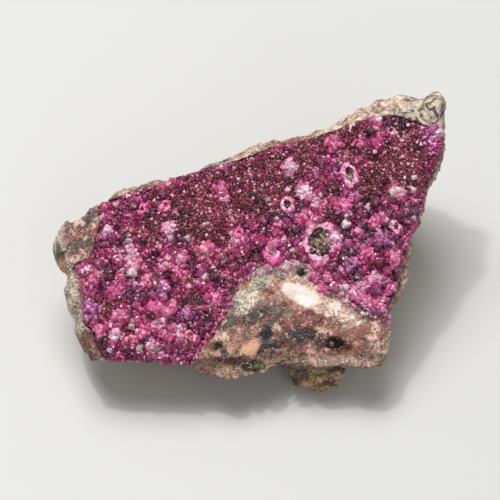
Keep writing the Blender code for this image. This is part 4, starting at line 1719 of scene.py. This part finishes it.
# The u, v and size of each grey-white crystal that stands alone.
LONE_CRYSTALS = np.array([
    (17.3, 3.8, 1.2), (7.7, -1.2, 0.9), (21.4, 6.8, 1.0), (19.9, 7.4, 0.7), (6.8, 10.1, 0.8),
    (12.7, 9.2, 0.8), (3.2, 8.2, 0.9), (-21.2, -5.3, 1.3), (-26.9, -4.7, 1.0), (-22.0, 0.6, 1.0),
    (-14.4, 1.1, 1.0), (-11.1, 1.0, 0.9), (-8.3, -5.6, 1.1), (-9.2, -7.2, 0.8), (-3.5, 2.1, 1.0),
    (-4.9, -2.6, 1.0), (-22.8, -4.5, 0.7), (29.6, 12.3, 0.9), (29.6, 10.0, 1.0), (23.4, 22.9, 0.9),
    (28.6, 14.8, 0.6), (12.4, 20.5, 0.8), (14.8, 21.6, 0.7), (-19.7, -18.9, 1.2), (17.4, 5.0, 0.7),
])
# The u, v and size of each golden spark.
SPARKS = np.array([(3.9, -1.5, 0.25), (3.6, -2.3, 0.3), (11.7, 4.2, 0.3)])


@dataclass
class Crust:
    """The crystals that stand on the crust's bed.

    Attributes:
        sugar_size: the least and greatest size of the finest crystals.
        small_size: that of the small crystals.
        block_size: that of the blocky crystals.
        fringe_size: that of the crystals along the front seam.
        filling_size: that of the grains in the rings' hollows.
        sugar_gap: the finest crystals' least gap, and how much wider it is where the crust is coarse.
        small_gap: the small crystals' least gap, and how much wider it is where the crust is fine.
        block_gap: the blocky crystals' least gap, and how much wider it is where they are rare and where the
            crust is fine.
        fringe_per_mm: how many crystals stand along each millimetre of the front seam.
        fringe_spread: how far they stray from it.
        facing: the least cosine of the angle between the ground's outward direction and n.
        lowest: the least n at which crystals stand.
        thread_rise: how far the threads rise for each millimetre that they run along the face.
        thread_lift: how high over the ground the threads cross.
        spark_lift: how high over the ground the sparks stand.
    """

    sugar_size: tuple[float, float] = (0.34, 0.6)
    small_size: tuple[float, float] = (0.55, 1.0)
    block_size: tuple[float, float] = (1.0, 1.8)
    fringe_size: tuple[float, float] = (0.4, 0.8)
    filling_size: tuple[float, float] = (0.3, 0.55)
    sugar_gap: tuple[float, float] = (0.3, 0.16)
    small_gap: tuple[float, float] = (0.78, 0.6)
    block_gap: tuple[float, float, float] = (1.25, 1.3, 2.4)
    fringe_per_mm: float = 8.0
    fringe_spread: float = 0.45
    facing: float = -0.2
    lowest: float = -1.45
    thread_rise: float = 0.12
    thread_lift: float = 0.3
    spark_lift: float = 0.5

    def build(self, bed: bpy.types.Object, rock: bpy.types.Object) -> list[bpy.types.Object]:
        """Strews the crystals over the bed, and along its seams over the rock's edge.

        Args:
            bed: the crust's bed.
            rock: the rock.

        Returns:
            The crystals' objects.
        """
        ground, seam_ground = Ground(bed), Ground(bed, rock)
        return [
            self._sugar(ground), self._small(ground), self._blocks(ground),
            self._rosettes(ground, seam_ground),
            self._rings(ground), self._fillings(ground), self._threads(ground),
        ]

    def _on_crust(self, local: Array, leans: Array) -> Array:
        """Whether a place is on the crust's top or sides, but not on its floor, in a ring or in a rosette.

        Args:
            local: places in the face's axes.
            leans: the surface's directions there, in the same axes.

        Returns:
            True or false for each place.
        """
        taken = np.any([growth.covers(local) for growth in (*RING_WALLS, *ROSETTES)], axis=0)
        return (leans[:, 2] > self.facing) & (local[:, 2] > self.lowest) & ~taken

    def _sugar(self, ground: Ground) -> bpy.types.Object:
        """The finest crystals, which cover the sugary stretches and fill in elsewhere.

        Args:
            ground: what they stand on.

        Returns:
            The crystals' object.
        """
        dice = np.random.default_rng(Seed.FINE)
        least, wider = self.sugar_gap
        strewn = ground.strew(lambda p: least + wider * (1 - fineness(p)), self._on_crust, Seed.FINE_PLACES,
                              least, crowding=2.2)
        sizes = dice.uniform(*self.sugar_size, len(strewn.local))
        colours = CrustColours(middle=0.4, chance=0.13, sparkling=0.06).at(strewn.local, dice)
        crystals = Crystals("crystals_fine", (Form.RHOMB,))
        crystals.add(strewn, sizes, colours, dice, SUGAR_GROWTH)
        return self._finish(crystals, SUGAR_FINISH)

    def _small(self, ground: Ground) -> bpy.types.Object:
        """The small crystals between the blocky ones.

        Args:
            ground: what they stand on.

        Returns:
            The crystals' object.
        """
        dice = np.random.default_rng(Seed.SMALL)
        least, wider = self.small_gap
        strewn = ground.strew(lambda p: least + wider * fineness(p), self._on_crust, Seed.SMALL_PLACES, least)
        fine = fineness(strewn.local)
        sizes = dice.uniform(*self.small_size, len(fine)) * (1 - 0.3 * fine)
        colours = CrustColours(middle=0.36).at(strewn.local, dice)
        crystals = Crystals("crystals_small", (Form.RHOMB, Form.BLUNT_RHOMB, Form.NAILHEAD))
        crystals.add(strewn, sizes, colours, dice, SMALL_GROWTH)
        return self._finish(crystals, SMALL_FINISH)

    def _blocks(self, ground: Ground) -> bpy.types.Object:
        """The blocky crystals, which crowd together in some coarse stretches and are rare elsewhere.

        Args:
            ground: what they stand on.

        Returns:
            The crystals' object.
        """
        dice = np.random.default_rng(Seed.BLOCKY)
        least, for_rare, for_fine = self.block_gap

        def spacing(local: Array) -> Array:
            """How far each blocky crystal stays from the next, in millimetres."""
            sparse = smooth_step(-0.25, 0.35, waviness(local, 4.5, 6.0))
            return least + for_rare * sparse + for_fine * fineness(local)

        strewn = ground.strew(spacing, self._on_crust, Seed.BLOCKY_PLACES, least)
        fine = fineness(strewn.local)
        sizes = dice.uniform(*self.block_size, len(fine)) * (1 - 0.45 * fine)
        colours = CrustColours(middle=0.43).at(strewn.local, dice)
        crystals = Crystals("crystals_blocky", (Form.BLUNT_RHOMB, Form.NAILHEAD, Form.BLUNT_RHOMB))
        crystals.add(strewn, sizes, colours, dice, BLOCK_GROWTH)
        lone, met = ground.under(LONE_CRYSTALS)
        crystals.add(lone, LONE_CRYSTALS[met, 2], GREY_WHITE.pick(len(lone.local), dice), dice, LONE_GROWTH)
        return self._finish(crystals, BLOCK_FINISH)

    def _rosettes(self, ground: Ground, seam_ground: Ground) -> bpy.types.Object:
        """The rosettes, and the pale fringe along the front seam.

        Args:
            ground: the crust's bed.
            seam_ground: the bed and the rock together.

        Returns:
            The crystals' object.
        """
        dice = np.random.default_rng(Seed.ROSETTES)
        crystals = Crystals("crystals_rosettes", (Form.BLUNT_RHOMB, Form.NAILHEAD))
        for rosette in ROSETTES:
            rosette.grow(crystals, ground, dice)
        for rosette in SEAM_ROSETTES:
            rosette.grow(crystals, seam_ground, dice)
        fringe, _ = seam_ground.under(self._fringe(dice))
        sizes = dice.uniform(*self.fringe_size, len(fringe.local))
        pale = smooth_step(-4.0, 3.0, fringe.local[:, 0]) * dice.random(len(sizes))
        colours = Tone.ROSY.mixed(np.clip(1.0 - 1.2 * pale, 0, 1)) * 0.8
        whitish = (pale > 0.6)[:, None]
        colours = np.where(whitish, Tone.PALE.mixed(dice.random(len(sizes)) * 0.4), colours)
        crystals.add(fringe, sizes, colours, dice, FRINGE_GROWTH)
        return self._finish(crystals, ROSETTE_FINISH)

    def _fringe(self, dice: np.random.Generator) -> Array:
        """Places along the front seam, crowded near it.

        Args:
            dice: the source of chance.

        Returns:
            The u and v of each place.
        """
        places = []
        for first, second in zip(FRONT_SEAM, FRONT_SEAM[1:]):
            number = int(np.linalg.norm(second - first) * self.fringe_per_mm)
            share = dice.random((number, 1))
            strayed = dice.normal(0, self.fringe_spread, (number, 2))
            places.append(first + (second - first) * share + strayed)
        return np.concatenate(places)

    def _rings(self, ground: Ground) -> bpy.types.Object:
        """The ring walls.

        Args:
            ground: what they stand on.

        Returns:
            The walls' object.
        """
        dice = np.random.default_rng(Seed.RING_WALLS)
        bm = bmesh.new()
        colours = []
        for ring in RING_WALLS:
            colours.extend(ring.model(bm, ground, dice))
        bmesh.ops.recalc_face_normals(bm, faces=bm.faces)
        mesh = bpy.data.meshes.new("ring_walls")
        bm.to_mesh(mesh)
        bm.free()
        paint(mesh, TINT, np.concatenate(colours))
        obj = bpy.data.objects.new("ring_walls", mesh)
        bpy.context.scene.collection.objects.link(obj)
        return self._dress(obj, RING_FINISH)

    def _fillings(self, ground: Ground) -> bpy.types.Object:
        """The dark grains in the rings' hollows, and a few golden sparks beside them.

        Args:
            ground: what they stand on.

        Returns:
            The grains' object.
        """
        dice = np.random.default_rng(Seed.FILLINGS)
        crystals = Crystals("ring_fillings", (Form.RHOMB,))
        for ring in RINGS:
            number = int(20 * ring.half_length * ring.half_width)
            around, out = dice.uniform(0, math.tau, number), 0.85 * np.sqrt(dice.random(number))
            strewn, _ = ground.under(np.column_stack((ring.u + ring.half_length * out * np.cos(around),
                                                      ring.v + ring.half_width * out * np.sin(around))))
            sizes = dice.uniform(*self.filling_size, len(strewn.local))
            crystals.add(strewn, sizes, POCKET.pick(len(sizes), dice), dice, FILLING_GROWTH)
        sparks, _ = ground.under(SPARKS)
        sparks.places = sparks.places + FACE.axes()[2] * self.spark_lift * MM
        crystals.add(sparks, SPARKS[:, 2], np.tile(linear(GOLD), (len(SPARKS), 1)), dice, SPARK_GROWTH)
        return self._finish(crystals, FILLING_FINISH)

    def _threads(self, ground: Ground) -> bpy.types.Object:
        """The pale threads that cross the rings' hollows.

        Args:
            ground: what they stand on.

        Returns:
            The threads' object.
        """
        dice = np.random.default_rng(Seed.THREADS)
        threads = Crystals("ring_threads", (Form.NEEDLE,))
        for ring in RINGS:
            number = int(3 + 3 * ring.half_width)
            offset = dice.uniform(-0.5, 0.5, (number, 2)) * (ring.half_length, ring.half_width)
            lines, _ = ground.under(np.array([ring.u, ring.v]) + offset)
            slant = dice.normal(-0.9, 0.35, number)
            lines.places = lines.places + FACE.axes()[2] * self.thread_lift * MM
            rise = np.full(number, self.thread_rise)
            lines.normals = np.column_stack((np.cos(slant), np.sin(slant), rise)) @ FACE.axes()
            lengths = dice.uniform(0.9, 1.5, number) * ring.half_width
            threads.add(lines, lengths, THREADS.pick(number, dice), dice, THREAD_GROWTH)
        return self._finish(threads, THREAD_FINISH)

    def _finish(self, crystals: Crystals, finish: CrystalFinish) -> bpy.types.Object:
        """Builds the crystals' object and dresses it."""
        return self._dress(crystals.build(), finish)

    def _dress(self, obj: bpy.types.Object, finish: CrystalFinish) -> bpy.types.Object:
        """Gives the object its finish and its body.

        Args:
            obj: the object.
            finish: its finish.

        Returns:
            The same object.
        """
        obj.data.materials.append(finish.material())
        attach(obj, BODY)
        return obj


@dataclass
class Studio:
    """The floor, the lights and the camera.

    Attributes:
        elevation: how far above level the camera looks down from, in degrees.
        distance: the camera's distance from the face's middle, in metres.
        scale: how many millimetres at that distance a pixel of the photograph covers.
        frame_pixels: the photograph's width.
        middle_pixel: where in the photograph the face's middle is.
        floor_reach: how far the floor reaches each way, in metres.
        floor_colour: the floor's colour, as a screen shows it.
        room_colour: the linear colour of the room's own light.
        room_strength: how strong that light is.
        lamps: each lamp's name, its place and width in metres, and its power in watts.
    """

    elevation: float = 52.0
    distance: float = 0.45
    scale: float = 0.18
    frame_pixels: int = 500
    middle_pixel: tuple[float, float] = (250.0, 245.0)
    floor_reach: float = 2.0
    floor_colour: Colour = (186, 186, 183)
    room_colour: tuple[float, float, float] = (1.0, 0.985, 0.965)
    room_strength: float = 0.37
    lamps: tuple[tuple[str, tuple[float, float, float], float, float], ...] = (
        ("window", (-0.12, 0.22, 0.8), 0.5, 6.8),
        ("front_fill", (0.2, -0.7, 0.55), 0.6, 1.9),
        ("glint", (-0.14, 0.12, 0.6), 0.04, 1.1),
    )

    def build(self) -> None:
        """Sets up the floor, the lights and the camera."""
        self._floor()
        self._lights()
        self._camera()
        bpy.context.scene.view_settings.view_transform = "Standard"

    def _camera(self) -> None:
        """The camera, at the photograph's viewing angle."""
        rise = math.radians(self.elevation)
        middle = Vector(FACE.middle) * MM
        back = Vector((0.0, -math.cos(rise), math.sin(rise)))
        up = Vector((0.0, math.sin(rise), math.cos(rise)))
        across = self.frame_pixels / 2 - self.middle_pixel[0]
        lift = self.middle_pixel[1] - self.frame_pixels / 2
        aim = middle + up * (lift * self.scale * MM) + Vector((across * self.scale * MM, 0, 0))
        data = bpy.data.cameras.new("camera")
        data.lens = data.sensor_width * self.distance / (self.frame_pixels * self.scale * MM)
        data.clip_start = 0.01
        camera = bpy.data.objects.new("camera", data)
        camera.location = aim + back * self.distance
        camera.rotation_euler = (math.pi / 2 - rise, 0.0, 0.0)
        bpy.context.scene.collection.objects.link(camera)
        bpy.context.scene.camera = camera

    def _floor(self) -> None:
        """A plain pale floor."""
        bm = bmesh.new()
        bmesh.ops.create_grid(bm, x_segments=1, y_segments=1, size=self.floor_reach)
        mesh = bpy.data.meshes.new("floor")
        bm.to_mesh(mesh)
        bm.free()
        floor = bpy.data.objects.new("floor", mesh)
        bpy.context.scene.collection.objects.link(floor)
        nodes = Nodes("pale_floor")
        pale = (*linear(self.floor_colour), 1.0)
        mesh.materials.append(nodes.finish(Base_Color=pale, Roughness=0.6))

    def _lights(self) -> None:
        """Soft light from above, a smaller lamp that makes the crystals glint, and the room's own light."""
        for name, place, size, power in self.lamps:
            data = bpy.data.lights.new(name, "AREA")
            data.size = size
            data.energy = power
            lamp = bpy.data.objects.new(name, data)
            lamp.location = place
            lamp.rotation_euler = (-Vector(place)).to_track_quat("-Z", "Y").to_euler()
            bpy.context.scene.collection.objects.link(lamp)
        world = bpy.data.worlds.new("room")
        world.use_nodes = True
        room = world.node_tree.nodes["Background"].inputs
        room["Color"].default_value = (*self.room_colour, 1.0)
        room["Strength"].default_value = self.room_strength
        bpy.context.scene.world = world


def main() -> None:
    """Builds the pieces in order and says what each became."""
    logging.basicConfig(level=logging.INFO, format="%(message)s")
    rock = HostRock().build()
    crust_bed = CrustBed()
    bed = crust_bed.build()
    pieces = [rock, RockGrains().build(rock), bed, *Crust().build(bed, rock)]
    crust_bed.seat(bed)
    for piece in pieces:
        LOG.info("%s: %d faces", piece.name, len(piece.data.polygons))
    Studio().build()


if __name__ == "__main__":
    main()
